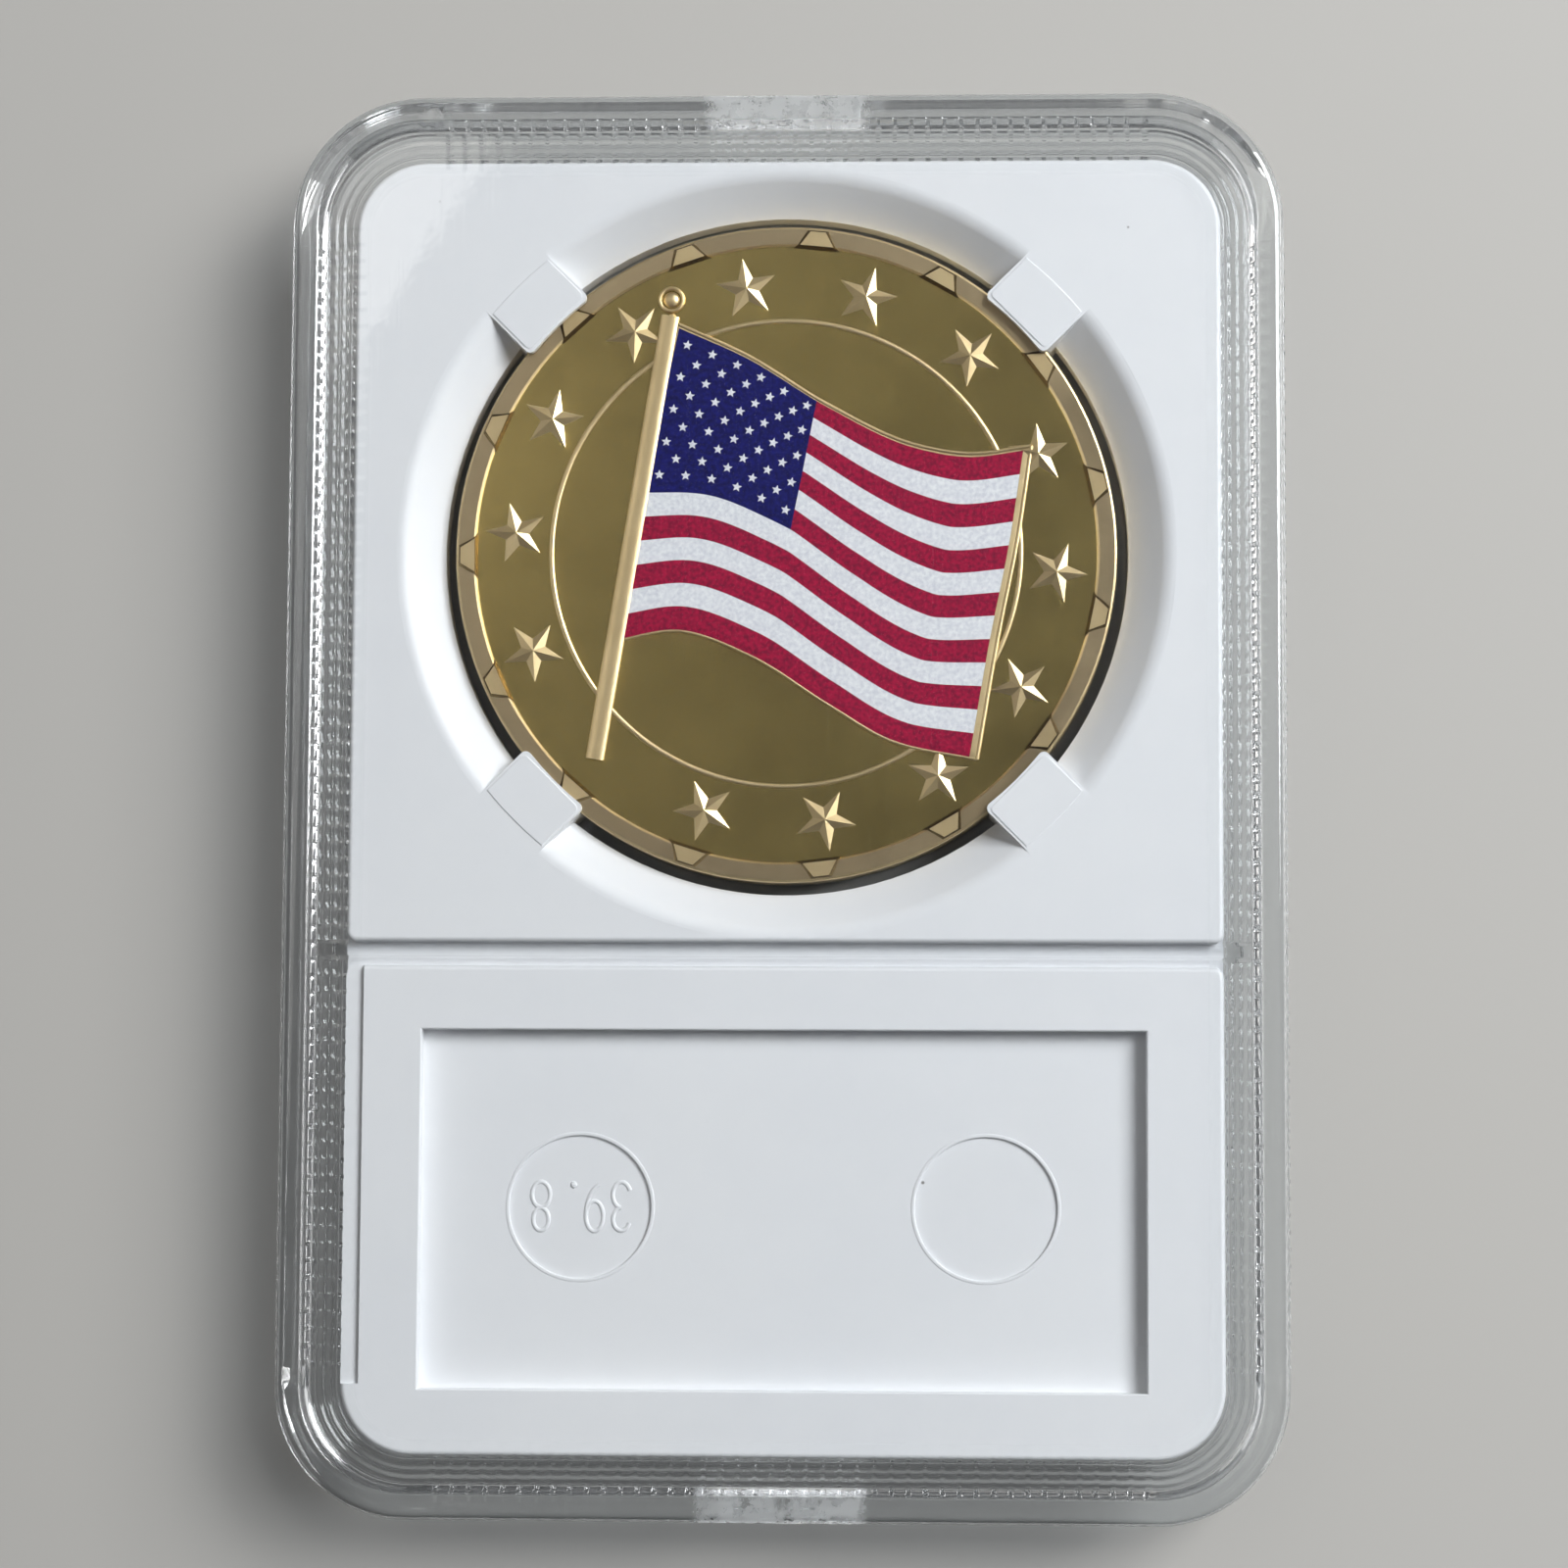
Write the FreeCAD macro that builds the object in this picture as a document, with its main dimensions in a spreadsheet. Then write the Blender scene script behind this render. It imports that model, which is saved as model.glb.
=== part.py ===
"""Coin slab: two clear half shells that snap together round a white insert, which holds one coin by
four prongs and carries a recess for a label.  Millimetres, +Z up out of the front window, +Y towards
the coin's end, origin under the middle of the slab on the surface it lies on."""
import FreeCAD, Part
import math
import os

import Sketcher

Vector = FreeCAD.Vector
SHEET = "dimensions"

# alias, value, what it is.  Heights are measured from the surface the slab lies on.
DIMENSIONS = [
    ("slab_width", 60.3, "outside width of the closed slab"),
    ("slab_length", 85.7, "outside length of the closed slab"),
    ("slab_height", 9.0, "height of the front rim's top"),
    ("corner_radius", 8.3, "outside corner radius"),
    ("foot_height", 0.8, "how far the rear stacking ring stands below the rear window"),
    ("foot_outer_inset", 2.7, "outline to the outside of the rear stacking ring"),
    ("foot_inner_inset", 3.9, "outline to the inside of the rear stacking ring"),
    ("rear_floor_top", 2.3, "inside face of the rear window"),
    ("parting_height", 4.2, "height where the two shells meet at the outside"),
    ("rear_outline_inset", 0.0, "outline to the rear shell's outer wall"),
    ("front_outline_inset", 0.2, "front shell's wall at the parting line"),
    ("front_draft", 3.0, "draft of the front shell's outer wall, degrees"),
    ("front_wall_inner_inset", 1.8, "outline to the inside of the front shell's outer wall"),
    ("tongue_inset", 1.98, "outline to the outside of the rear shell's tongue"),
    ("tongue_top", 6.3, "top of the rear shell's tongue"),
    ("cavity_inset", 3.85, "outline to the wall round the insert"),
    ("window_under", 6.55, "inside face of the front window"),
    ("window_top", 8.05, "outside face of the front window"),
    ("rim_inner_inset", 2.0, "outline to the inside of the front rim, at its top"),
    ("rim_inner_draft", 25.0, "slope of the front rim's inside, degrees"),
    ("rim_rounding", 0.6, "rounding of the front rim's outer edge"),
    ("base_rounding", 0.6, "bevel under the rear shell's outer edge"),
    ("pry_width", 8.8, "width of the pry slot at each end"),
    ("pry_depth", 1.1, "how deep the pry slot goes into the wall"),
    ("pry_half_height", 0.5, "half the height of the pry slot"),
    ("divider_centre", -9.0, "place of the clear rib between coin and label, along Y"),
    ("divider_width", 0.7, "thickness of that rib"),
    ("divider_bottom", 5.8, "lower edge of that rib"),
    ("divider_notch_width", 1.2, "gap in the rear shell's tongue for the rib"),
    ("insert_inset", 4.05, "outline to the insert's edge"),
    ("insert_under", 2.35, "underside of the insert"),
    ("insert_top", 6.45, "face of the insert"),
    ("insert_rounding", 0.3, "rounding of the insert's upper edges"),
    ("platform_corner", 0.6, "rounding of the corners beside the groove, seen from above"),
    ("insert_groove_start", -8.5, "upper side of the insert's groove, along Y"),
    ("insert_groove_end", -9.9, "lower side of the insert's groove, along Y"),
    ("insert_groove_floor", 5.6, "floor of the insert's groove"),
    ("side_step_width", 1.1, "narrow step along the left of the label platform"),
    ("side_step_end", -34.65, "lower end of that step, along Y"),
    ("side_step_depth", 0.3, "depth of that step"),
    ("label_width", 43.0, "width of the label recess"),
    ("label_length", 21.2, "length of the label recess"),
    ("label_centre", -24.3, "middle of the label recess, along Y"),
    ("label_depth", 1.2, "depth of the label recess"),
    ("label_rear_depth", 1.4, "depth of the hollow behind the label platform"),
    ("mark_radius", 4.25, "radius of the two round marks in the label recess"),
    ("mark_spacing", 24.1, "distance between the two marks"),
    ("mark_centre", -24.2, "place of the marks, along Y"),
    ("mark_depth", 0.15, "depth of the marks"),
    ("coin_diameter", 39.8, "diameter of the coin"),
    ("coin_thickness", 3.0, "thickness of the coin at its rim"),
    ("coin_centre", 15.0, "middle of the coin, along Y"),
    ("coin_under", 2.92, "underside of the coin in the insert"),
    ("opening_radius", 20.6, "radius of the round opening in the insert"),
    ("dish_radius", 22.9, "radius of the dish where it meets the insert's face"),
    ("dish_depth", 1.7, "depth of the dish at the opening"),
    ("rear_dish_radius", 22.0, "radius of the dish at the insert's underside"),
    ("rear_dish_depth", 1.0, "depth of the dish at the insert's underside"),
    ("prong_width", 5.0, "width of a prong"),
    ("prong_clearance", 0.05, "gap between a prong's grip and the coin's edge"),
    ("prong_lip_overlap", 0.4, "how far a prong's lip reaches over the coin's rim"),
    ("prong_lip_thickness", 0.5, "thickness of that lip"),
    ("prong_lip_corner", 0.38, "rounding of the lip's two corners, seen from above"),
    ("prong_root_radius", 23.4, "radius where a prong grows out of the insert"),
    ("dish_rounding", 0.3, "rounding of the dishes' outer edges"),
    ("fine_rounding", 0.12, "rounding of the prongs' and the label recess's upper edges"),
    ("rim_inner_rounding", 0.25, "rounding of the front rim's inner edge"),
    ("coin_rim_width", 1.1, "width of the coin's raised rim"),
    ("coin_field_depth", 0.3, "depth of the coin's field below its rim"),
    ("coin_edge_bevel", 0.12, "bevel of the coin's edge"),
    ("coin_ring_radius", 14.12, "radius of the raised circle on the coin"),
    ("coin_ring_width", 0.28, "width of that circle"),
    ("coin_ring_height", 0.08, "height of that circle"),
    ("star_circle_radius", 16.3, "radius of the circle of stars"),
    ("star_radius", 1.9, "size of a star, middle to point"),
    ("star_height", 0.16, "height of a star"),
    ("star_places", 14.0, "places round the circle; one holds the flagpole's foot"),
    ("star_start", 98.6, "angle of the first star, degrees"),
    ("flag_height", 0.15, "height of the flag above the coin's field"),
]

# The flag's outline on the coin, from the coin's middle: corner, the wave's turns, corner.
FLAG_TOP = [(-6.55, 13.95), (-2.35, 12.0), (2.5, 9.0), (7.9, 6.5), (11.0, 6.0), (14.75, 6.45)]
FLAG_RIGHT = [(14.75, 6.45), (13.9, 0.7), (12.7, -5.4), (11.5, -12.5)]
FLAG_BOTTOM = [(11.5, -12.5), (6.2, -11.3), (2.6, -9.2), (-2.2, -6.2), (-6.4, -4.75), (-10.45, -5.4)]
POLE_FOOT = (-11.45, -12.55)
POLE_TOP = (-7.0, 14.8)
POLE_HALF_WIDTH = 0.5
BALL_RADIUS = 0.8


def cell(alias):
    """The expression that reads one cell of the sheet."""
    return f"{SHEET}.{alias}"


def make_sheet(doc):
    """Put the driving dimensions into the document's spreadsheet."""
    sheet = doc.addObject("Spreadsheet::Sheet", SHEET)
    for row, (alias, value, meaning) in enumerate(DIMENSIONS, start=1):
        sheet.set(f"A{row}", alias.replace("_", " "))
        sheet.set(f"B{row}", str(value))
        sheet.set(f"C{row}", meaning)
        sheet.setAlias(f"B{row}", alias)
    doc.recompute()
    return sheet


def new_body(doc, name):
    """A body whose label names the sub-part's file."""
    body = doc.addObject("PartDesign::Body", name)
    body.Label = name
    return body


def new_sketch(body, name, plane, **offset):
    """A sketch on one of the body's origin planes, moved by expressions for x, y and z."""
    sketch = body.newObject("Sketcher::SketchObject", name)
    origin_plane = next(item for item in body.Origin.OriginFeatures if item.Role == plane)
    sketch.AttachmentSupport = [(origin_plane, "")]
    sketch.MapMode = "FlatFace"
    for axis, expression in offset.items():
        sketch.setExpression(f".AttachmentOffset.Base.{axis}", expression)
    return sketch


def bind(sketch, index, name, expression):
    """Name a constraint and let the sheet drive it."""
    sketch.renameConstraint(index, name)
    sketch.setExpression(f"Constraints.{name}", expression)


def draw_rectangle(sketch, width, length, radius=None, middle=("0", "0")):
    """A rectangle, with rounded corners if a radius is given; every size is an expression."""
    wide, long = (sketch.evalExpression(size) for size in (width, length))
    at_x, at_y = (sketch.evalExpression(place) for place in middle)
    turn = sketch.evalExpression(radius) if radius else 0.0
    left, right = at_x - wide / 2, at_x + wide / 2
    low, high = at_y - long / 2, at_y + long / 2
    sides = [
        ((left + turn, low), (right - turn, low)),
        ((right, low + turn), (right, high - turn)),
        ((right - turn, high), (left + turn, high)),
        ((left, high - turn), (left, low + turn)),
    ]
    for start, end in sides:
        sketch.addGeometry(Part.LineSegment(Vector(*start, 0), Vector(*end, 0)))
    for side, rule in enumerate(("Horizontal", "Vertical", "Horizontal", "Vertical")):
        sketch.addConstraint(Sketcher.Constraint(rule, side))
    if radius:
        middles = [(right - turn, low + turn), (right - turn, high - turn),
                   (left + turn, high - turn), (left + turn, low + turn)]
        for corner, centre in enumerate(middles):
            circle = Part.Circle(Vector(*centre, 0), Vector(0, 0, 1), turn)
            begin = math.radians(90 * corner - 90)
            arc = sketch.addGeometry(Part.ArcOfCircle(circle, begin, begin + math.pi / 2))
            sketch.addConstraint(Sketcher.Constraint("Tangent", corner, 2, arc, 1))
            sketch.addConstraint(Sketcher.Constraint("Tangent", arc, 2, (corner + 1) % 4, 1))
            if corner:
                sketch.addConstraint(Sketcher.Constraint("Equal", 4, arc))
        first = sketch.addConstraint(Sketcher.Constraint("Radius", 4, turn))
        bind(sketch, first, "corner", radius)
    else:
        for side in range(4):
            sketch.addConstraint(Sketcher.Constraint("Coincident", side, 2, (side + 1) % 4, 1))
    places = [
        ("right_side", "DistanceX", 1, right, f"({middle[0]}) + ({width}) / 2"),
        ("left_side", "DistanceX", 3, left, f"({middle[0]}) - ({width}) / 2"),
        ("low_side", "DistanceY", 0, low, f"({middle[1]}) - ({length}) / 2"),
        ("high_side", "DistanceY", 2, high, f"({middle[1]}) + ({length}) / 2"),
    ]
    for name, rule, side, value, expression in places:
        index = sketch.addConstraint(Sketcher.Constraint(rule, -1, 1, side, 1, value))
        bind(sketch, index, name, expression)


def draw_circle(sketch, radius, middle=("0", "0")):
    """A circle whose radius and middle are expressions."""
    centre = Vector(sketch.evalExpression(middle[0]), sketch.evalExpression(middle[1]), 0)
    size = sketch.evalExpression(radius)
    circle = sketch.addGeometry(Part.Circle(centre, Vector(0, 0, 1), size))
    index = sketch.addConstraint(Sketcher.Constraint("Radius", circle, size))
    bind(sketch, index, f"radius_{circle}", radius)
    index = sketch.addConstraint(Sketcher.Constraint("DistanceX", -1, 1, circle, 3, centre.x))
    bind(sketch, index, f"across_{circle}", middle[0])
    index = sketch.addConstraint(Sketcher.Constraint("DistanceY", -1, 1, circle, 3, centre.y))
    bind(sketch, index, f"along_{circle}", middle[1])


def draw_polygon(sketch, corners):
    """A closed polygon whose corners are pairs of expressions."""
    points = [Vector(sketch.evalExpression(x), sketch.evalExpression(y), 0) for x, y in corners]
    first = sketch.GeometryCount
    for point, following in zip(points, points[1:] + points[:1]):
        sketch.addGeometry(Part.LineSegment(point, following))
    for place, (x, y) in enumerate(corners):
        side, following = first + place, first + (place + 1) % len(corners)
        sketch.addConstraint(Sketcher.Constraint("Coincident", side, 2, following, 1))
        index = sketch.addConstraint(Sketcher.Constraint("DistanceX", -1, 1, side, 1, points[place].x))
        bind(sketch, index, f"x_{side}", x)
        index = sketch.addConstraint(Sketcher.Constraint("DistanceY", -1, 1, side, 1, points[place].y))
        bind(sketch, index, f"y_{side}", y)


def pad(body, name, sketch, length, upwards=True, draft=None):
    """Add material from a sketch, up or down."""
    feature = body.newObject("PartDesign::Pad", name)
    feature.Profile = sketch
    feature.setExpression("Length", length)
    feature.Reversed = not upwards
    if draft:
        feature.setExpression("TaperAngle", draft)
    sketch.Visibility = False
    body.Document.recompute()
    return feature


def pocket(body, name, sketch, depth, upwards=False, draft=None):
    """Cut from a sketch, down or up, and make sure that something was cut."""
    before = body.Shape.Volume
    feature = body.newObject("PartDesign::Pocket", name)
    feature.Profile = sketch
    feature.setExpression("Length", depth)
    feature.Reversed = upwards
    if draft:
        feature.setExpression("TaperAngle", draft)
    sketch.Visibility = False
    body.Document.recompute()
    if not body.Shape.Volume < before:
        raise RuntimeError(f"{name} cuts nothing")
    return feature


def groove(body, name, sketch):
    """Cut a full turn about the sketch's upright axis."""
    before = body.Shape.Volume
    feature = body.newObject("PartDesign::Groove", name)
    feature.Profile = sketch
    feature.ReferenceAxis = (sketch, ["V_Axis"])
    feature.Angle = 360
    body.Document.recompute()
    if not body.Shape.Volume < before:
        raise RuntimeError(f"{name} cuts nothing")
    return feature


def dress(body, kind, name, edges, size):
    """Round or bevel the chosen edges of the body's last feature."""
    base = body.Tip
    feature = body.newObject(f"PartDesign::{kind}", name)
    feature.Base = (base, edges)
    feature.setExpression("Radius" if kind == "Fillet" else "Size", size)
    body.Document.recompute()
    return feature


def edges_where(body, rule):
    """Names of the body's edges for which the rule is true."""
    return [f"Edge{number}" for number, edge in enumerate(body.Shape.Edges, start=1) if rule(edge)]


def level_edges(body, height, inset=None, spread=0.06):
    """Edges lying at one height, and, if an inset is given, on the outline moved in by that much."""
    doc = body.Document
    sheet = doc.getObject(SHEET)
    half_width, half_length = sheet.slab_width / 2, sheet.slab_length / 2
    moved_in = getattr(sheet, inset) if inset else 0.0

    def rule(edge):
        box = edge.BoundBox
        if abs(box.ZMin - height) > spread or abs(box.ZMax - height) > spread:
            return False
        if inset is None:
            return True
        reach_x = max(abs(box.XMin), abs(box.XMax))
        reach_y = max(abs(box.YMin), abs(box.YMax))
        on_side = abs(reach_x - (half_width - moved_in)) < spread
        on_end = abs(reach_y - (half_length - moved_in)) < spread
        return on_side or on_end

    return edges_where(body, rule)


def outline(body, name, inset, height):
    """The slab's outline moved inwards by an inset, drawn at a height; both are aliases."""
    sketch = new_sketch(body, name, "XY_Plane", z=cell(height) if height else "0")
    draw_rectangle(
        sketch,
        f"{cell('slab_width')} - 2 * {cell(inset)}",
        f"{cell('slab_length')} - 2 * {cell(inset)}",
        f"{cell('corner_radius')} - {cell(inset)}",
    )
    return sketch


def cut_pry_slots(body, upwards):
    """The two slots, one at each end of the slab, where a coin's edge or a blade opens the shells."""
    sketch = new_sketch(body, "pry_slot_plan", "XY_Plane", z=cell("parting_height"))
    reach = f"{cell('pry_depth')} + 1"
    for side in (1, -1):
        place = f"{side} * (({cell('slab_length')} - {cell('pry_depth')}) / 2 + 0.5)"
        half = f"{cell('pry_width')} / 2"
        near, far = f"{place} - ({reach}) / 2", f"{place} + ({reach}) / 2"
        draw_polygon(sketch, [(f"-{half}", near), (half, near), (half, far), (f"-{half}", far)])
    pocket(body, "pry_slots", sketch, cell("pry_half_height"), upwards)


def make_rear_shell(doc):
    """Clear half that the slab lies on: window, stacking ring, outer wall and the inner tongue."""
    body = new_body(doc, "rear_shell")
    wall = outline(body, "wall_plan", "rear_outline_inset", "foot_height")
    pad(body, "wall", wall, f"{cell('parting_height')} - {cell('foot_height')}")
    dress(body, "Chamfer", "lower_bevel", level_edges(body, doc.dimensions.foot_height),
          cell("base_rounding"))
    tongue = outline(body, "tongue_plan", "tongue_inset", "parting_height")
    pad(body, "tongue", tongue, f"{cell('tongue_top')} - {cell('parting_height')}")
    cavity = outline(body, "cavity_plan", "cavity_inset", "tongue_top")
    pocket(body, "cavity", cavity, f"{cell('tongue_top')} - {cell('rear_floor_top')}")
    foot = outline(body, "foot_plan", "foot_outer_inset", "foot_height")
    pad(body, "foot", foot, cell("foot_height"), upwards=False)
    hollow = outline(body, "foot_hollow_plan", "foot_inner_inset", None)
    pocket(body, "foot_hollow", hollow, cell("foot_height"), upwards=True)
    notch = new_sketch(body, "divider_notch_plan", "XY_Plane", z=cell("tongue_top"))
    draw_rectangle(notch, f"{cell('slab_width')} - 2 * {cell('tongue_inset')} + 0.02",
                   cell("divider_notch_width"), middle=("0", cell("divider_centre")))
    pocket(body, "divider_notch", notch, f"{cell('tongue_top')} - {cell('insert_groove_floor')}")
    cut_pry_slots(body, upwards=False)
    return body


def make_front_shell(doc):
    """Clear half over the coin: drafted outer wall, raised rim, window and the divider rib."""
    body = new_body(doc, "front_shell")
    wall = outline(body, "wall_plan", "front_outline_inset", "parting_height")
    pad(body, "wall", wall, f"{cell('slab_height')} - {cell('parting_height')}",
        draft=f"-{cell('front_draft')}")
    rim_top = doc.dimensions.slab_height
    dress(body, "Fillet", "rim_outer_rounding", level_edges(body, rim_top), cell("rim_rounding"))
    recess = outline(body, "window_recess_plan", "rim_inner_inset", "slab_height")
    pocket(body, "window_recess", recess, f"{cell('slab_height')} - {cell('window_top')}",
           draft=f"-{cell('rim_inner_draft')}")
    dress(body, "Fillet", "rim_inner_rounding", level_edges(body, rim_top, "rim_inner_inset"),
          cell("rim_inner_rounding"))
    inside = outline(body, "inside_plan", "front_wall_inner_inset", "parting_height")
    pocket(body, "inside", inside, f"{cell('window_under')} - {cell('parting_height')}", upwards=True)
    rib = new_sketch(body, "divider_plan", "XY_Plane", z=cell("window_under"))
    draw_rectangle(rib, f"{cell('slab_width')} - 2 * {cell('front_wall_inner_inset')}",
                   cell("divider_width"), middle=("0", cell("divider_centre")))
    pad(body, "divider", rib, f"{cell('window_under')} - {cell('divider_bottom')}", upwards=False)
    cut_pry_slots(body, upwards=True)
    return body


def dish_profile(body, name, face_height, opening_height, face_radius):
    """Section of the material that a dish takes away, in the plane through the coin's axis."""
    sketch = new_sketch(body, name, "XZ_Plane", z=f"-{cell('coin_centre')}")
    draw_polygon(sketch, [
        ("0", face_height), ("0", opening_height),
        (cell("opening_radius"), opening_height), (face_radius, face_height),
    ])
    return sketch


def make_insert(doc):
    """White core: round opening with a dish on each side, four prongs, groove, label recess."""
    body = new_body(doc, "insert")
    top, under = cell("insert_top"), cell("insert_under")
    top_height = doc.dimensions.insert_top
    plate = outline(body, "plate_plan", "insert_inset", "insert_under")
    pad(body, "plate", plate, f"{top} - {under}")
    cut_divider_groove(body, top)
    dress(body, "Fillet", "platform_corners", groove_corners(body), cell("platform_corner"))
    dress(body, "Fillet", "edge_rounding", level_edges(body, top_height), cell("insert_rounding"))
    opening = new_sketch(body, "opening_plan", "XY_Plane", y=cell("coin_centre"), z=top)
    draw_circle(opening, cell("opening_radius"))
    pocket(body, "opening", opening, f"{top} - {under}")
    groove(body, "front_dish", dish_profile(
        body, "front_dish_section", top, f"{top} - {cell('dish_depth')}", cell("dish_radius")))
    groove(body, "rear_dish", dish_profile(
        body, "rear_dish_section", under, f"{under} + {cell('rear_dish_depth')}",
        cell("rear_dish_radius")))
    dress(body, "Fillet", "dish_rounding", round_edges(body, doc), cell("dish_rounding"))
    add_prongs(body, top, under)
    cut_label_platform(body, top, under)
    dress(body, "Fillet", "fine_rounding", fine_edges(body, doc), cell("fine_rounding"))
    return body


def cut_divider_groove(body, top):
    """The groove across the insert that the front shell's divider rib stands in."""
    start, end = cell("insert_groove_start"), cell("insert_groove_end")
    slot = new_sketch(body, "groove_plan", "XY_Plane", z=top)
    draw_rectangle(slot, cell("slab_width"), f"{start} - {end}", middle=("0", f"({start} + {end}) / 2"))
    pocket(body, "divider_groove", slot, f"{top} - {cell('insert_groove_floor')}")


def groove_corners(body):
    """The upright edges where the groove leaves the insert at each side."""
    sheet = body.Document.getObject(SHEET)
    sides = (sheet.insert_groove_start, sheet.insert_groove_end)

    def rule(edge):
        box = edge.BoundBox
        upright = box.ZLength > 0.5 and box.XLength < 0.01 and box.YLength < 0.01
        return upright and any(abs(box.YMin - side) < 0.01 for side in sides)

    return edges_where(body, rule)


def distance_from_coin(edge, sheet):
    """Smallest and largest distance of an edge's ends and middle from the coin's axis."""
    first, last = edge.ParameterRange
    points = [edge.valueAt(first + (last - first) * share) for share in (0.0, 0.5, 1.0)]
    distances = [math.hypot(point.x, point.y - sheet.coin_centre) for point in points]
    return min(distances), max(distances)


def round_edges(body, doc):
    """The circles where the two dishes meet the insert's faces."""
    sheet = doc.getObject(SHEET)
    radii = (sheet.dish_radius, sheet.rear_dish_radius)

    def rule(edge):
        near, far = distance_from_coin(edge, sheet)
        level = edge.BoundBox.ZLength < 0.01
        return level and any(abs(near - r) < 0.01 and abs(far - r) < 0.01 for r in radii)

    return edges_where(body, rule)


def fine_edges(body, doc):
    """Upper edges of the label recess."""
    sheet = doc.getObject(SHEET)
    half = sheet.label_width / 2

    def rule(edge):
        box = edge.BoundBox
        at_top = abs(box.ZMin - sheet.insert_top) < 0.001 and box.ZLength < 0.001
        inside = max(abs(box.XMin), abs(box.XMax)) < half + 0.01 and box.YMax < sheet.insert_groove_end - 1
        return at_top and inside

    return edges_where(body, rule)


def add_prongs(body, top, under):
    """Four prongs at the diagonals: grips round the coin's edge, and lips over its rim."""
    half = f"{cell('prong_width')} / 2"
    grip = f"{cell('coin_diameter')} / 2 + {cell('prong_clearance')}"
    lip = f"{cell('coin_diameter')} / 2 - {cell('prong_lip_overlap')}"
    steps = (
        ("prong_grip", under, grip, f"{top} - {under}"),
        ("prong_lip", f"{top} - {cell('prong_lip_thickness')}", lip, cell("prong_lip_thickness")),
    )
    for name, level, tip, height in steps:
        plan = new_sketch(body, f"{name}_plan", "XY_Plane", y=cell("coin_centre"), z=level)
        plan.AttachmentOffset = FreeCAD.Placement(
            plan.AttachmentOffset.Base, FreeCAD.Rotation(Vector(0, 0, 1), 45))
        draw_prong(plan, f"sqrt(({tip})^2 - ({half})^2)", cell("prong_root_radius"), half, tip)
        single = pad(body, name, plan, height)
        ring = body.newObject("PartDesign::PolarPattern", f"{name}s")
        ring.Originals = [single]
        ring.Axis = (plan, ["N_Axis"])
        ring.Angle = 360
        ring.Occurrences = 4
        body.Tip = ring
        body.Document.recompute()
    dress(body, "Fillet", "lip_corners", lip_corners(body), cell("prong_lip_corner"))


def lip_corners(body):
    """The short upright edges at the ends of the prongs' lips."""
    sheet = body.Document.getObject(SHEET)
    reach = sheet.coin_diameter / 2 - sheet.prong_lip_overlap

    def rule(edge):
        near, far = distance_from_coin(edge, sheet)
        height = edge.BoundBox.ZLength
        return abs(height - sheet.prong_lip_thickness) < 0.01 and near > reach - 0.01 and far < reach + 0.01

    return edges_where(body, rule)


def draw_prong(sketch, inner, outer, half, tip_radius):
    """Plan of a prong: two sides, a straight root and a tip that follows the coin's edge."""
    near, far = sketch.evalExpression(inner), sketch.evalExpression(outer)
    side, radius = sketch.evalExpression(half), sketch.evalExpression(tip_radius)
    swing = math.atan2(side, near)
    tip = Part.ArcOfCircle(Part.Circle(Vector(0, 0, 0), Vector(0, 0, 1), radius), -swing, swing)
    sketch.addGeometry(tip)
    corners = [Vector(near, side, 0), Vector(far, side, 0), Vector(far, -side, 0), Vector(near, -side, 0)]
    for start, end in zip(corners, corners[1:]):
        sketch.addGeometry(Part.LineSegment(start, end))
    for first, first_end, second, second_end in ((0, 2, 1, 1), (1, 2, 2, 1), (2, 2, 3, 1), (3, 2, 0, 1)):
        sketch.addConstraint(Sketcher.Constraint("Coincident", first, first_end, second, second_end))
    sketch.addConstraint(Sketcher.Constraint("Coincident", 0, 3, -1, 1))
    for line, rule in ((1, "Horizontal"), (2, "Vertical"), (3, "Horizontal")):
        sketch.addConstraint(Sketcher.Constraint(rule, line))
    sizes = (
        ("tip", Sketcher.Constraint("Radius", 0, radius), tip_radius),
        ("upper", Sketcher.Constraint("DistanceY", -1, 1, 1, 2, side), half),
        ("lower", Sketcher.Constraint("DistanceY", 3, 1, -1, 1, side), half),
        ("root", Sketcher.Constraint("DistanceX", -1, 1, 2, 1, far), outer),
    )
    for name, constraint, expression in sizes:
        bind(sketch, sketch.addConstraint(constraint), name, expression)


def cut_label_platform(body, top, under):
    """Side step, label recess with two round marks, and the hollow behind the platform."""
    end = cell("insert_groove_end")
    step = new_sketch(body, "side_step_plan", "XY_Plane", z=top)
    edge = f"-({cell('slab_width')} / 2 - {cell('insert_inset')})"
    draw_rectangle(step, f"2 * {cell('side_step_width')}", f"{end} - {cell('side_step_end')}",
                   middle=(edge, f"({end} + {cell('side_step_end')}) / 2"))
    pocket(body, "side_step", step, cell("side_step_depth"))
    recess = new_sketch(body, "label_plan", "XY_Plane", z=top)
    draw_rectangle(recess, cell("label_width"), cell("label_length"),
                   middle=("0", cell("label_centre")))
    pocket(body, "label_recess", recess, cell("label_depth"))
    marks = new_sketch(body, "mark_plan", "XY_Plane", z=f"{top} - {cell('label_depth')}")
    for side in (1, -1):
        draw_circle(marks, cell("mark_radius"), (f"{side} * {cell('mark_spacing')} / 2", cell("mark_centre")))
    pocket(body, "round_marks", marks, cell("mark_depth"))
    hollow = new_sketch(body, "rear_hollow_plan", "XY_Plane", z=under)
    draw_rectangle(hollow, cell("label_width"), cell("label_length"),
                   middle=("0", cell("label_centre")))
    pocket(body, "rear_hollow", hollow, cell("label_rear_depth"), upwards=True)


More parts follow.
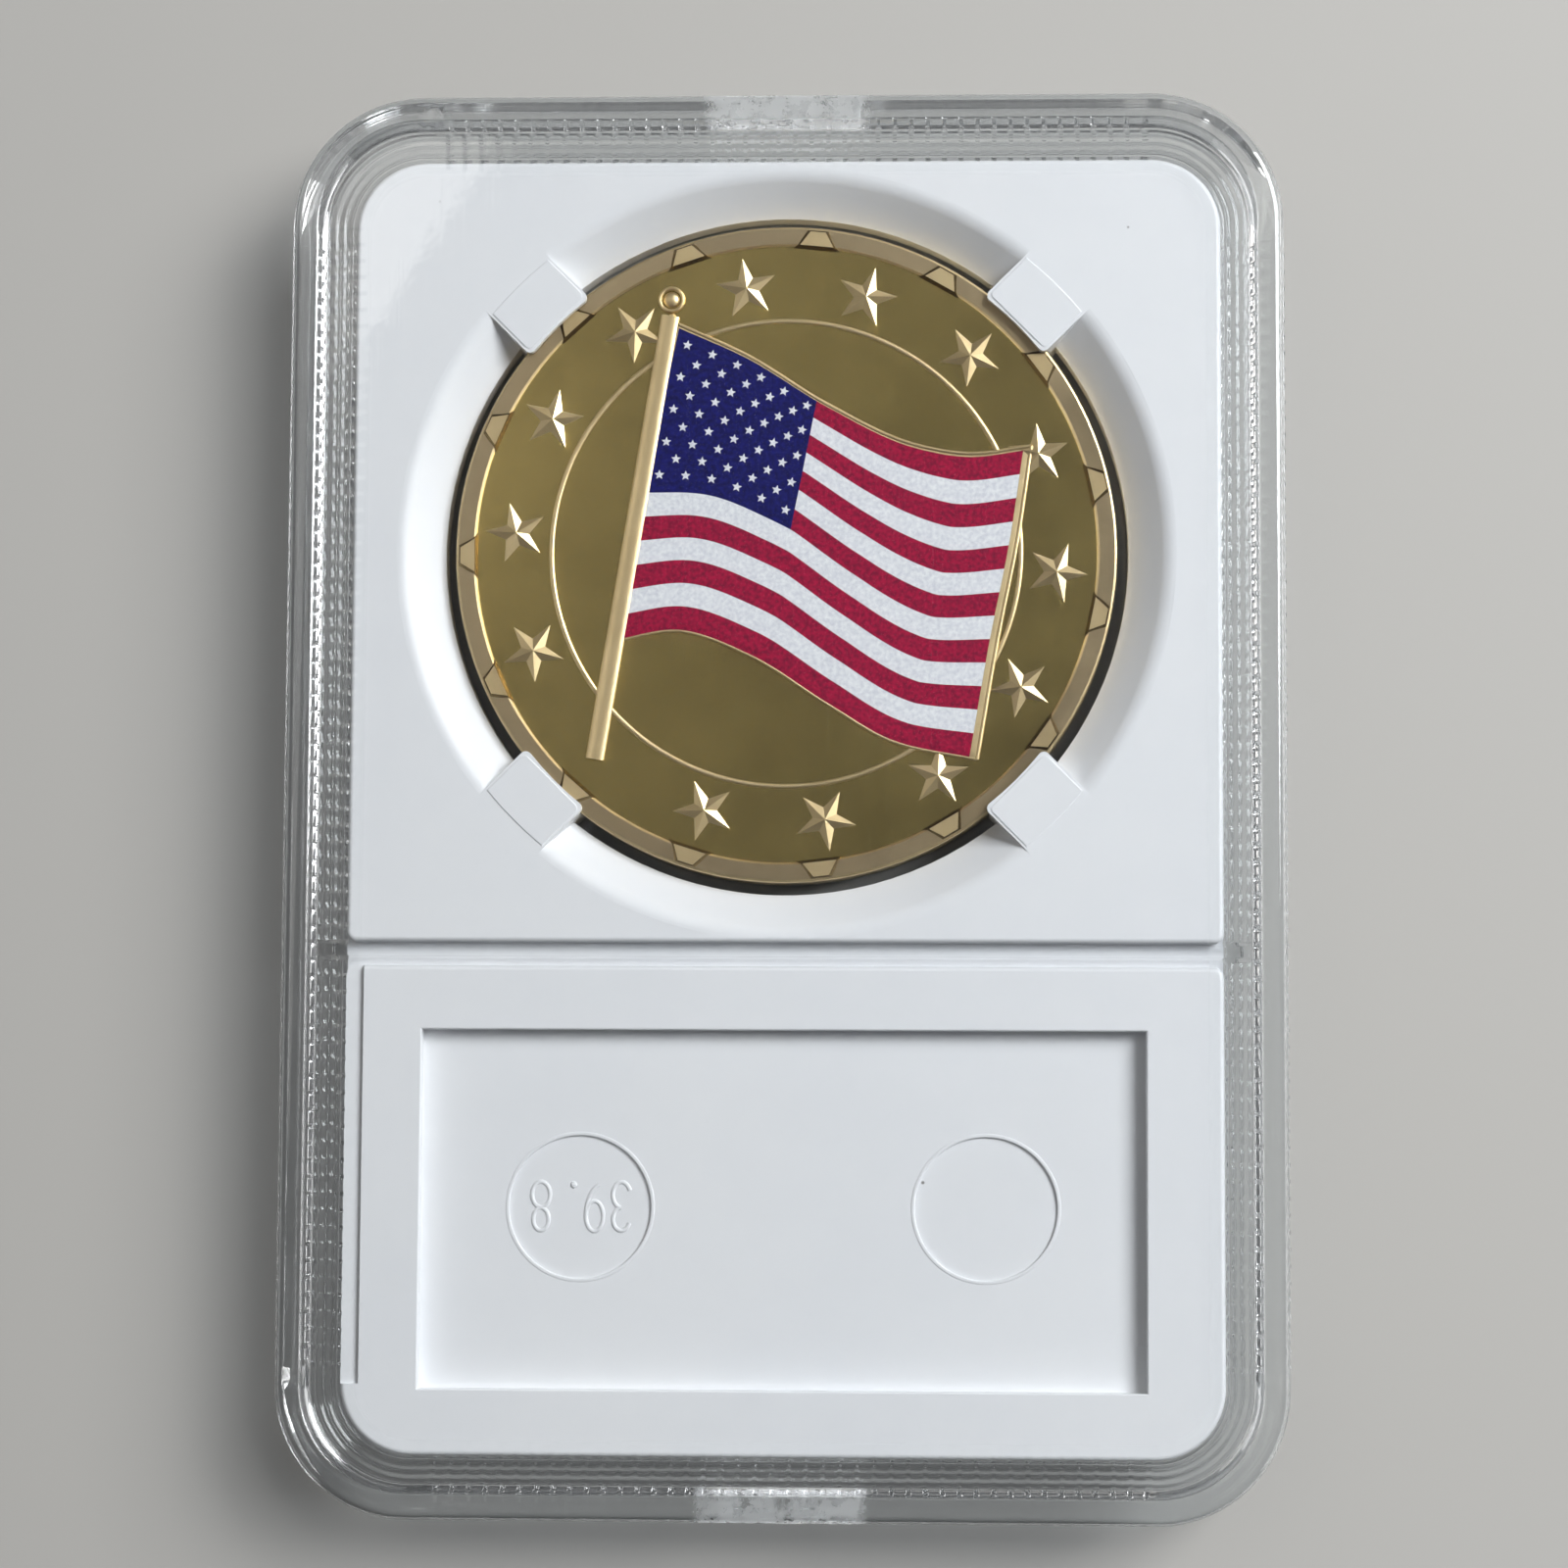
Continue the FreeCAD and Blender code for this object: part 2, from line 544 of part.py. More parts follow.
def coin_section(body):
    """Half section of the coin: bevelled edge, rim, sunken field and raised circle on each face."""
    sketch = new_sketch(body, "coin_section", "XZ_Plane")
    edge, bevel = f"{cell('coin_diameter')} / 2", cell("coin_edge_bevel")
    rim = f"{edge} - {cell('coin_rim_width')}"
    field, thick = cell("coin_field_depth"), cell("coin_thickness")
    ring_in = f"{cell('coin_ring_radius')} - {cell('coin_ring_width')} / 2"
    ring_out = f"{cell('coin_ring_radius')} + {cell('coin_ring_width')} / 2"
    ring_top = f"{thick} - {field} + {cell('coin_ring_height')}"
    ring_low = f"{field} - {cell('coin_ring_height')}"
    draw_polygon(sketch, [
        ("0", field), (ring_in, field), (ring_in, ring_low), (ring_out, ring_low), (ring_out, field),
        (f"{rim} - {field} / 2", field), (rim, "0"),
        (f"{edge} - {bevel}", "0"), (edge, bevel), (edge, f"{thick} - {bevel}"),
        (f"{edge} - {bevel}", thick), (rim, thick), (f"{rim} - {field} / 2", f"{thick} - {field}"),
        (ring_out, f"{thick} - {field}"), (ring_out, ring_top), (ring_in, ring_top),
        (ring_in, f"{thick} - {field}"), ("0", f"{thick} - {field}"),
    ])
    return sketch


def make_coin(doc):
    """Struck coin: revolved blank, circle of stars, flag on a pole.  Modelled about its own axis."""
    body = new_body(doc, "coin")
    blank = body.newObject("PartDesign::Revolution", "blank")
    section = coin_section(body)
    blank.Profile = section
    blank.ReferenceAxis = (section, ["V_Axis"])
    blank.Angle = 360
    doc.recompute()
    field_top = f"{cell('coin_thickness')} - {cell('coin_field_depth')}"
    add_stars(body, field_top)
    add_flag(body, field_top)
    body.setExpression(".Placement.Base.y", cell("coin_centre"))
    body.setExpression(".Placement.Base.z", cell("coin_under"))
    doc.recompute()
    return body


def add_stars(body, field_top):
    """Five-pointed stars, one point outwards, round the coin; the last place is left free."""
    turn = f"{cell('star_start')} - 360 / {cell('star_places')} * 8"
    sketch = new_sketch(body, "star_plan", "XY_Plane", z=field_top)
    corners = []
    for corner in range(10):
        size = f"{cell('star_radius')} * {1.0 if corner % 2 == 0 else 0.42}"
        angle = f"({turn} + {36 * corner}) * 1 deg"
        corners.append((
            f"{cell('star_circle_radius')} * cos(({turn}) * 1 deg) + {size} * cos({angle})",
            f"{cell('star_circle_radius')} * sin(({turn}) * 1 deg) + {size} * sin({angle})",
        ))
    draw_polygon(sketch, corners)
    single = pad(body, "star", sketch, cell("star_height"))
    ring = body.newObject("PartDesign::PolarPattern", "stars")
    ring.Originals = [single]
    ring.Axis = (sketch, ["N_Axis"])
    ring.setExpression("Angle", f"360 / {cell('star_places')} * ({cell('star_places')} - 2)")
    ring.setExpression("Occurrences", f"{cell('star_places')} - 1")
    body.Tip = ring
    body.Document.recompute()


def add_flag(body, field_top):
    """Waving flag with its pole and the ball on top of the pole, as one raised shape."""
    sketch = new_sketch(body, "flag_plan", "XY_Plane", z=field_top)
    for points in (FLAG_TOP, FLAG_RIGHT, FLAG_BOTTOM):
        curve = Part.BSplineCurve()
        curve.interpolate([Vector(x, y, 0) for x, y in points])
        sketch.addGeometry(curve)
    sketch.addGeometry(Part.LineSegment(Vector(*FLAG_BOTTOM[-1], 0), Vector(*FLAG_TOP[0], 0)))
    pad(body, "flag", sketch, cell("flag_height"))
    pole = new_sketch(body, "pole_plan", "XY_Plane", z=field_top)
    along = Vector(*POLE_TOP, 0) - Vector(*POLE_FOOT, 0)
    side = Vector(-along.y, along.x, 0).normalize() * POLE_HALF_WIDTH
    foot, head = Vector(*POLE_FOOT, 0), Vector(*POLE_TOP, 0)
    corners = [foot + side, foot - side, head - side, head + side]
    for point, following in zip(corners, corners[1:] + corners[:1]):
        pole.addGeometry(Part.LineSegment(point, following))
    pad(body, "flagpole", pole, cell("flag_height"))
    ball = new_sketch(body, "ball_plan", "XY_Plane", z=field_top)
    ball.addGeometry(Part.Circle(head, Vector(0, 0, 1), BALL_RADIUS))
    pad(body, "pole_ball", ball, cell("flag_height"))


def check(doc, bodies):
    """Stop if any object failed or any sub-part isn't one valid solid."""
    for item in doc.Objects:
        if any(word in item.State for word in ("Invalid", "Error")):
            raise RuntimeError(f"{item.Name} failed: {item.State}")
    for body in bodies:
        shape = body.Shape
        if shape.isNull() or not shape.isValid() or len(shape.Solids) != 1:
            raise RuntimeError(f"{body.Label} isn't one valid solid")


def main():
    doc = FreeCAD.newDocument("coin_slab")
    make_sheet(doc)
    bodies = [make_rear_shell(doc), make_front_shell(doc), make_insert(doc), make_coin(doc)]
    doc.recompute()
    check(doc, bodies)
    os.makedirs("parts", exist_ok=True)
    for body in bodies:
        body.Shape.exportStep(f"parts/{body.Label}.step")
        box = body.Shape.BoundBox
        print(body.Label, [round(v, 2) for v in (box.XMin, box.YMin, box.ZMin, box.XMax, box.YMax, box.ZMax)],
              "volume", round(body.Shape.Volume, 1), "faces", len(body.Shape.Faces))


main()
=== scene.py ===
"""Looks of the coin slab: two clear snap-together shells, the white insert and the struck coin with its
printed flag.  Metres, +Z up out of the front window, +Y towards the coin's end."""
import math

import bmesh
import bpy
import numpy as np
from mathutils import Matrix, Vector


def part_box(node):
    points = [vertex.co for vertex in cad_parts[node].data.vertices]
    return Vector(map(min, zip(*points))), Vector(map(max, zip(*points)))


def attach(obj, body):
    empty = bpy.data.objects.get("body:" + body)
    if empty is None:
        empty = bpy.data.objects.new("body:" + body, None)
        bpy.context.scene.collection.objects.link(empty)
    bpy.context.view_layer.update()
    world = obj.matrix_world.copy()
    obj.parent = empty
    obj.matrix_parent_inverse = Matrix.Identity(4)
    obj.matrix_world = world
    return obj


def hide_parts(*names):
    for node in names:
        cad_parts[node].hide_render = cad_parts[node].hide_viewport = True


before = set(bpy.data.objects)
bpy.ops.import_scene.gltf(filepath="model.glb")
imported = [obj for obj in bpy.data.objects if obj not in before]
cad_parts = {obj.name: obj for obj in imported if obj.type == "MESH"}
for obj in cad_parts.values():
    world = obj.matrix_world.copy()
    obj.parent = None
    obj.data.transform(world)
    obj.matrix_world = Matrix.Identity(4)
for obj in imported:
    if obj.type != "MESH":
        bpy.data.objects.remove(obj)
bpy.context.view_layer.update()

MM = 0.001


def box_of(node):
    """Lowest corner, highest corner and middle of a CAD node, in millimetres."""
    low, high = (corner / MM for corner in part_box(node))
    return low, high, (low + high) / 2


REAR_LOW, REAR_HIGH, _ = box_of("rear_shell")
FRONT_LOW, FRONT_HIGH, _ = box_of("front_shell")
_, INSERT_HIGH, _ = box_of("insert")
COIN_LOW, COIN_HIGH, COIN_MIDDLE = box_of("coin")

# Clear shells: outline, parting line, windows, divider rib, pry slots and the fine ribs of the joint.
HALF_WIDTH, HALF_LENGTH = REAR_HIGH.x, REAR_HIGH.y
CORNER, DRAFT = 8.3, math.radians(3)
PARTING, JOINT_GAP = FRONT_LOW.z, 0.04
TONGUE_TOP, TONGUE_OUTSIDE, TONGUE_INSIDE = REAR_HIGH.z, 1.98, 3.85
WALL_INSIDE, WINDOW_EDGE = 1.8, 5.0
SLAB_TOP = FRONT_HIGH.z
WINDOW_TOP, WINDOW_UNDER = SLAB_TOP - 0.95, SLAB_TOP - 2.45
FLOOR_TOP, FOOT, RIB_FOOT = 2.3, 0.8, 1.9
DIVIDER_Y, DIVIDER_HALF, DIVIDER_LOW, NOTCH_HALF = -9.0, 0.35, 5.8, 0.6
SLOT_HALF, SLOT_DEPTH, SLOT_HEIGHT = 4.4, 1.1, 0.5
RIB_PITCH, RIB_HALF, RIB_SLOPE, RIB_HEIGHT = 1.0, 0.16, 0.06, 0.12
STEP = 0.01
CORNER_STEPS = 24

# Insert: dish, prongs, and the round marks in the label recess.
OPENING_RADIUS, DISH_RADIUS, DISH_DEPTH, DISH_ROUNDING, PRONG_HALF = 20.6, 22.9, 1.7, 1.5, 2.5
MARK_X, MARK_Y, LABEL_FLOOR, MARK_FLOOR = 12.05, -24.2, INSERT_HIGH.z - 1.2, INSERT_HIGH.z - 1.35
MARK_RING = [(radius, LABEL_FLOOR + lift, 0) for radius, lift in (
    (4.22, -0.02), (4.26, 0.035), (4.34, 0.05), (4.42, 0.035), (4.47, -0.02), (4.22, -0.02))]
DIGIT_PLACES = (-2.45, -0.85, 0.4, 2.35)
STROKE_RADIUS, STROKE_FLATTENING = 0.13, 0.6

# Coin: rim, field, raised circle and stars.
RELIEF = 0.3
FIELD = COIN_HIGH.z - RELIEF
COIN_RADIUS = COIN_HIGH.x
RIM_WIDTH, RIM_DROP = 1.1, 0.13
RING_RADIUS, RING_HEIGHT = 14.12, 0.09
STAR_CIRCLE, STAR_RADIUS, STAR_HEIGHT = 16.3, 1.9, 0.29
FRONT_PLACES, FRONT_START, FRONT_LEFT_OUT = 14, math.radians(98.6), 9
BACK_STAR_RADIUS, BACK_PLACES = 8.0, 24
TRAPEZOIDS, TRAPEZOID_START = 15, math.radians(84.5)
FLAG_LIFT, INK = 0.13, 0.012
STRIPES, CANTON_STRIPES = 13, 7

# The flag from the coin's middle: upper edge, fly, lower edge, and how far the middle swells upwards.
FLAG_TOP = [(-6.55, 13.95), (-2.35, 12.0), (2.5, 9.0), (7.9, 6.5), (11.0, 6.0), (14.75, 6.45)]
FLAG_FLY = [(14.75, 6.45), (13.9, 0.7), (12.7, -5.4), (11.5, -12.5)]
FLAG_LOW = [(-10.45, -5.4), (-6.4, -4.75), (-2.2, -6.2), (2.6, -9.2), (6.2, -11.3), (11.5, -12.5)]
FLAG_SWELL = [(0.0, 0.2), (0.2, 0.5), (0.42, 0.8), (0.62, 0.3), (0.82, -0.35), (1.0, 0.0)]
CANTON = 0.425
POLE_TOP, POLE_FOOT, POLE_WIDTH = (-7.05, 14.45), (-11.4, -12.5), 1.13
BALL = (-6.98, 15.45, 0.8)


# ---------- meshes

def linked(name, data):
    """A new object with this data, in the scene."""
    thing = bpy.data.objects.new(name, data)
    bpy.context.scene.collection.objects.link(thing)
    return thing


def mesh_object(name, vertices, faces, indices=None):
    """A mesh object from millimetre corners, turned into metres, with outward faces."""
    mesh = bpy.data.meshes.new(name)
    mesh.from_pydata([tuple(MM * c for c in v) for v in vertices], [], faces)
    if indices:
        mesh.polygons.foreach_set("material_index", indices)
    work = bmesh.new()
    work.from_mesh(mesh)
    bmesh.ops.recalc_face_normals(work, faces=work.faces)
    work.to_mesh(mesh)
    work.free()
    return linked(name, mesh)


def make_plain(thing):
    """Put what the modifiers make into the mesh, and drop them."""
    graph = bpy.context.evaluated_depsgraph_get()
    made = bpy.data.meshes.new_from_object(thing.evaluated_get(graph), depsgraph=graph)
    thing.modifiers.clear()
    thing.data = made
    return thing


def combine(thing, tool, operation):
    """Exact boolean with a tool, which is then dropped."""
    boolean = thing.modifiers.new("combine", "BOOLEAN")
    boolean.operation, boolean.solver, boolean.object = operation, "EXACT", tool
    make_plain(thing)
    bpy.data.objects.remove(tool)


def band(here, there, count, closed=False):
    """Faces between two rows of corners, given by their first corners."""
    return [(here + k, here + (k + 1) % count, there + (k + 1) % count, there + k)
            for k in range(count if closed else count - 1)]


def smooth(thing, angle=35):
    """Smooth shading that keeps edges sharper than the angle, weighted towards the large faces."""
    for polygon in thing.data.polygons:
        polygon.use_smooth = True
    thing.data.set_sharp_from_angle(angle=math.radians(angle))
    weighting = thing.modifiers.new("weighting", "WEIGHTED_NORMAL")
    weighting.keep_sharp = True
    weighting.weight = 80
    return make_plain(thing)


def join(things, name):
    """One object out of several; slots of the same material are merged."""
    materials, faces, corners, indices = [], [], [], []
    for thing in things:
        shift = len(corners)
        corners += [tuple(v.co) for v in thing.data.vertices]
        for polygon in thing.data.polygons:
            material = thing.data.materials[polygon.material_index]
            if material not in materials:
                materials.append(material)
            faces.append([shift + v for v in polygon.vertices])
            indices.append(materials.index(material))
    mesh = bpy.data.meshes.new(name)
    mesh.from_pydata(corners, [], faces)
    mesh.polygons.foreach_set("material_index", indices)
    for material in materials:
        mesh.materials.append(material)
    for thing in things:
        bpy.data.objects.remove(thing)
    return linked(name, mesh)


def rounded(points, steps=4):
    """The line through points (across, height, rounding) with each corner turned into an arc."""
    line = [points[0][:2]]
    for before, corner, after in zip(points, points[1:], points[2:]):
        middle, rounding = Vector(corner[:2]), corner[2]
        if not rounding:
            line.append(tuple(middle))
            continue
        back, on = (Vector(p[:2]) - middle for p in (before, after))
        half = back.angle(on) / 2
        centre = middle + (back.normalized() + on.normalized()).normalized() * rounding / math.sin(half)
        start, end = (middle + way.normalized() * rounding / math.tan(half) - centre
                      for way in (back, on))
        first = math.atan2(start.y, start.x)
        turn = (math.atan2(end.y, end.x) - first + math.pi) % (2 * math.pi) - math.pi
        for step in range(steps + 1):
            angle = first + turn * step / steps
            line.append((centre.x + rounding * math.cos(angle), centre.y + rounding * math.sin(angle)))
    line.append(points[-1][:2])
    return line


def on_coin(point, height):
    """Millimetre place of a point counted from the coin's middle."""
    return (COIN_MIDDLE.x + point[0], COIN_MIDDLE.y + point[1], height)


def spline(points, share):
    """Point of a smooth curve through the points, at a share of its length counted by chords."""
    points = np.array(points, float)
    chords = np.r_[0, np.cumsum(np.hypot(*np.diff(points, axis=0).T))]
    chords /= chords[-1]
    tangents = np.gradient(points, chords, axis=0)
    place = min(int(np.searchsorted(chords, share, side="right")) - 1, len(points) - 2)
    width = chords[place + 1] - chords[place]
    t = (share - chords[place]) / width
    return ((2 * t**3 - 3 * t**2 + 1) * points[place] + (t**3 - 2 * t**2 + t) * width * tangents[place]
            + (3 * t**2 - 2 * t**3) * points[place + 1] + (t**3 - t**2) * width * tangents[place + 1])


# ---------- clear shells

def rib_share(run, reach):
    """1 on a rib, 0 between ribs, along a straight side that reaches this far each way."""
    if abs(run) > reach - 0.4:
        return 0.0
    away = (run - 0.5) % RIB_PITCH
    away = min(away, RIB_PITCH - away)
    return min(1.0, max(0.0, (RIB_HALF - away) / RIB_SLOPE))


def side_runs(reach, breaks):
    """Places along a straight side: the ribs' edges, and close pairs at each break."""
    runs = {-reach, reach}
    for rib in np.arange(-math.floor(reach) + 0.5, reach, RIB_PITCH):
        for edge in (RIB_HALF, RIB_HALF - RIB_SLOPE):
            runs |= {round(float(rib - edge), 4), round(float(rib + edge), 4)}
    for place in breaks:
        runs |= {place - STEP, place + STEP}
    return sorted(run for run in runs if abs(run) <= reach)


def stations():
    """Anchor, outward direction, rib share, whether in a pry slot, whether at the divider, all round."""
    wide, long = HALF_WIDTH - CORNER, HALF_LENGTH - CORNER
    around = []
    for quarter in range(4):
        angle = quarter * math.pi / 2
        outward = (round(math.cos(angle)), round(math.sin(angle)))
        at_end = quarter % 2 == 1
        reach = wide if at_end else long
        notch = (DIVIDER_Y - NOTCH_HALF, DIVIDER_Y + NOTCH_HALF)
        breaks = (-SLOT_HALF, SLOT_HALF) if at_end else notch
        turned = -1 if quarter in (1, 2) else 1
        for run in sorted(side_runs(reach, breaks), key=lambda r: r * turned):
            anchor = (run, outward[1] * long) if at_end else (outward[0] * wide, run)
            slot = at_end and abs(run) < SLOT_HALF
            at_divider = not at_end and notch[0] < run < notch[1]
            around.append((anchor, outward, rib_share(run, reach), slot, at_divider))
        corner = ((wide, long), (-wide, long), (-wide, -long), (wide, -long))[quarter]
        for step in range(1, CORNER_STEPS):
            bend = angle + math.pi / 2 * step / CORNER_STEPS
            around.append((corner, (math.cos(bend), math.sin(bend)), 0.0, False, False))
    return around


def sweep(name, profile, shape):
    """Carry a profile (inset, height) round the slab's outline; shape() alters it at a station."""
    vertices, faces = [], []
    around, count = stations(), len(profile)
    for (x, y), (out_x, out_y), rib, slot, at_divider in around:
        for inset, height in profile:
            inset, height = shape(inset, height, rib, slot, at_divider)
            reach = CORNER - inset
            vertices.append((x + out_x * reach, y + out_y * reach, height))
    for place in range(len(around)):
        faces += band(place * count, (place + 1) % len(around) * count, count)
    for ring in (0, count - 1):
        faces.append([place * count + ring for place in range(len(around))])
    return mesh_object(name, vertices, faces)


def rear_shape(inset, height, rib, slot, at_divider):
    """Fine ribs on the wall, the pry slots, and the tongue's gap for the divider."""
    if inset < 0.5 and RIB_FOOT < height < PARTING - 0.05:
        inset -= RIB_HEIGHT * rib
    if slot and inset < SLOT_DEPTH + STEP / 2 and height > PARTING - SLOT_HEIGHT:
        height = PARTING - SLOT_HEIGHT
    if height > TONGUE_TOP - 0.12 and 2.15 < inset < 3.72:
        inset += 0.03 * rib
    if at_divider and 1.9 < inset < 4.0 and height > DIVIDER_LOW - 0.2:
        height = DIVIDER_LOW - 0.2
    return inset, height


def front_shape(inset, height, rib, slot, at_divider):
    """Fine ribs low on both sides of the wall, and the pry slots."""
    if 1.7 < inset < 1.85 and height < PARTING + 1.3:
        inset += 0.08 * rib
    if inset < 0.5 and PARTING + 0.1 < height < PARTING + 1.2:
        inset -= RIB_HEIGHT * rib
    if slot and inset < SLOT_DEPTH + STEP / 2 and height < PARTING + SLOT_HEIGHT:
        height = PARTING + SLOT_HEIGHT
    return inset, height


def dress_shell(shell, clear, wall):
    """Clear floor or window and steep faces; the wall's level faces are a little milky."""
    shell.data.materials.clear()
    for material in (clear, wall):
        shell.data.materials.append(material)
    for polygon in shell.data.polygons:
        corners = [shell.data.vertices[v].co / MM for v in polygon.vertices]
        at_wall = any(HALF_WIDTH - abs(c.x) < 4.0 or HALF_LENGTH - abs(c.y) < 4.0 for c in corners)
        level = abs(polygon.normal.z) > 0.5
        polygon.material_index = 1 if at_wall and level and len(corners) < 30 else 0
    return shell


def make_rear_shell(clear, wall):
    """Rear half: window floor, ridged tongue, wall up to the joint, and the foot ring."""
    low_side = PARTING - JOINT_GAP
    ridges = [(3.68 - 1.5 * k / 36, TONGUE_TOP - 0.06 + 0.055 * math.cos(math.pi * k / 6), 0)
              for k in range(37)]
    profile = rounded([
        (WINDOW_EDGE, FLOOR_TOP, 0), (TONGUE_INSIDE, FLOOR_TOP, 0.2),
        (TONGUE_INSIDE, TONGUE_TOP - 0.005, 0.1), *ridges, (TONGUE_OUTSIDE, TONGUE_TOP - 0.005, 0.12),
        (TONGUE_OUTSIDE, low_side, 0.1), (SLOT_DEPTH + STEP, low_side, 0), (SLOT_DEPTH, low_side, 0),
        (0.12, low_side, 0.06), (0.12, 2.0, 0), (0.02, 1.85, 0), (0.02, 1.4, 0.1), (0.6, FOOT, 0.12),
        (2.7, FOOT, 0.12), (2.75, 0.0, 0.2), (TONGUE_INSIDE, 0.0, 0.2), (3.9, FOOT, 0.12),
        (WINDOW_EDGE, FOOT, 0),
    ])
    return dress_shell(smooth(sweep("rear_clear_shell", profile, rear_shape), 30), clear, wall)


def make_front_shell(clear, wall):
    """Front half: window, raised rim, drafted wall with its ribs, and the thin divider rib."""
    top_inset = 0.2 + (SLAB_TOP - PARTING) * math.tan(DRAFT)
    profile = rounded([
        (WINDOW_EDGE, WINDOW_TOP, 0), (2.44, WINDOW_TOP, 0.15), (2.0, SLAB_TOP, 0.2),
        (top_inset, SLAB_TOP, 0.6), (0.27, PARTING + 1.3, 0), (0.34, PARTING + 1.1, 0),
        (0.34, PARTING, 0.06), (SLOT_DEPTH, PARTING, 0), (SLOT_DEPTH + STEP, PARTING, 0),
        (WALL_INSIDE, PARTING, 0.05), (WALL_INSIDE, PARTING + 1.2, 0), (WALL_INSIDE, PARTING + 1.4, 0),
        (WALL_INSIDE, WINDOW_UNDER, 0.15), (WINDOW_EDGE, WINDOW_UNDER, 0),
    ])
    shell = sweep("front_clear_shell", profile, front_shape)
    reach = HALF_WIDTH - WALL_INSIDE + 0.05
    corners = [(x, y, z) for x in (-reach, reach)
               for y in (DIVIDER_Y - DIVIDER_HALF, DIVIDER_Y + DIVIDER_HALF)
               for z in (DIVIDER_LOW, WINDOW_UNDER + 0.2)]
    divider = mesh_object("divider_rib", corners, [
        (0, 1, 3, 2), (4, 6, 7, 5), (0, 4, 5, 1), (2, 3, 7, 6), (0, 2, 6, 4), (1, 5, 7, 3)])
    combine(shell, divider, "UNION")
    return dress_shell(smooth(shell, 30), clear, wall)


# ---------- insert

def make_insert(white):
    """The white core: the CAD shape with a softer dish, prong pads and rings round the two marks."""
    work = bmesh.new()
    work.from_mesh(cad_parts["insert"].data)
    bmesh.ops.remove_doubles(work, verts=work.verts, dist=2e-6)
    clean = bpy.data.meshes.new("insert_body")
    work.to_mesh(clean)
    work.free()
    if "custom_normal" in clean.attributes:
        clean.attributes.remove(clean.attributes["custom_normal"])
    insert = smooth(linked("insert_body", clean), 25)
    soften_dish(insert)
    extras = [prong_pad(quarter) for quarter in range(4)]
    extras += [lathe("mark_ring", MARK_RING, 96, [], Vector((side * MARK_X, MARK_Y, 0)))
               for side in (-1, 1)]
    for thing in (insert, *extras):
        thing.data.materials.clear()
        thing.data.materials.append(white)
    return smooth(join([insert, *extras], "white_insert"), 25)


def soften_dish(insert):
    """Turn the dish's outer edge into a wide soft rounding, between the prongs."""
    top, slope = INSERT_HIGH.z, math.atan2(DISH_DEPTH, DISH_RADIUS - OPENING_RADIUS)
    start = DISH_RADIUS + DISH_ROUNDING * math.tan(slope / 2)
    section = [(start + 0.2, top + 0.03)]
    section += arc(start, top - DISH_ROUNDING, DISH_ROUNDING, DISH_ROUNDING, 90,
                   90 + math.degrees(slope), 8)
    across, height = section[-1]
    inner = OPENING_RADIUS - 0.1
    section += [(inner, height - (across - inner) * math.tan(slope) - 0.004),
                (inner, top + 0.5), (start + 0.2, top + 0.5)]
    vertices, faces, count, steps = [], [], len(section), 40
    for quarter in range(4):
        base = len(vertices)
        for step in range(steps + 1):
            for radius, z in section:
                margin = math.asin((PRONG_HALF + 0.003) / radius)
                angle = math.pi / 4 + math.pi / 2 * quarter + margin
                angle += (math.pi / 2 - 2 * margin) * step / steps
                vertices.append(on_coin((radius * math.cos(angle), radius * math.sin(angle)), z))
        for step in range(steps):
            faces += band(base + step * count, base + (step + 1) * count, count, True)
        faces += [tuple(range(base, base + count)),
                  tuple(range(base + steps * count + count - 1, base + steps * count - 1, -1))]
    combine(insert, mesh_object("dish_cutter", vertices, faces), "DIFFERENCE")


def prong_pad(quarter):
    """Low raised pad that covers a prong, bounded outwards by the dish's circle."""
    turn = math.radians(45 + 90 * quarter)
    inner, half, bevel = 19.62, PRONG_HALF - 0.14, 0.35
    rings = []
    for shrink, lift in ((0.0, -0.02), (0.0, 0.03), (0.05, 0.06)):
        side, tip, root = half - shrink, inner + shrink, DISH_RADIUS - shrink
        reach, bend = math.sqrt(root**2 - side**2), math.degrees(math.asin(side / root))
        plan = [(tip + bevel, -side), (reach, -side)]
        plan += arc(0, 0, root, root, -bend, bend, 8)[1:-1] + [(reach, side), (tip + bevel, side)]
        plan += arc(tip + bevel, side - bevel, bevel, bevel, 90, 180, 5)[1:]
        plan += arc(tip + bevel, bevel - side, bevel, bevel, 180, 270, 5)[:-1]
        rings.append([on_coin((x * math.cos(turn) - y * math.sin(turn),
                               x * math.sin(turn) + y * math.cos(turn)), INSERT_HIGH.z + lift)
                      for x, y in plan])
    count = len(rings[0])
    corners = [corner for ring in rings for corner in ring]
    faces = [tuple(range(count - 1, -1, -1)), tuple(range(2 * count, 3 * count))]
    for level in range(2):
        faces += band(level * count, (level + 1) * count, count, True)
    return mesh_object("prong_pad", corners, faces)


def arc(centre_x, centre_y, radius_x, radius_y, first, last, steps=18):
    """Points of an ellipse's arc, angles in degrees."""
    return [(centre_x + radius_x * math.cos(math.radians(first + (last - first) * k / steps)),
             centre_y + radius_y * math.sin(math.radians(first + (last - first) * k / steps)))
            for k in range(steps + 1)]


# Strokes of each digit, in millimetres from its middle.
DIGITS = {
    "3": [arc(0, 0.72, 0.5, 0.68, 160, -85), arc(0, -0.72, 0.52, 0.76, 85, -160)],
    "9": [arc(0, 0.55, 0.52, 0.9, 0, 360), arc(-0.6, 0.55, 1.12, 1.95, 0, -72)],
    "8": [arc(0, 0.74, 0.46, 0.68, 0, 360), arc(0, -0.72, 0.54, 0.76, 0, 360)],
    ".": [arc(0, -1.3, 0.08, 0.1, 0, 360, 8)],
}


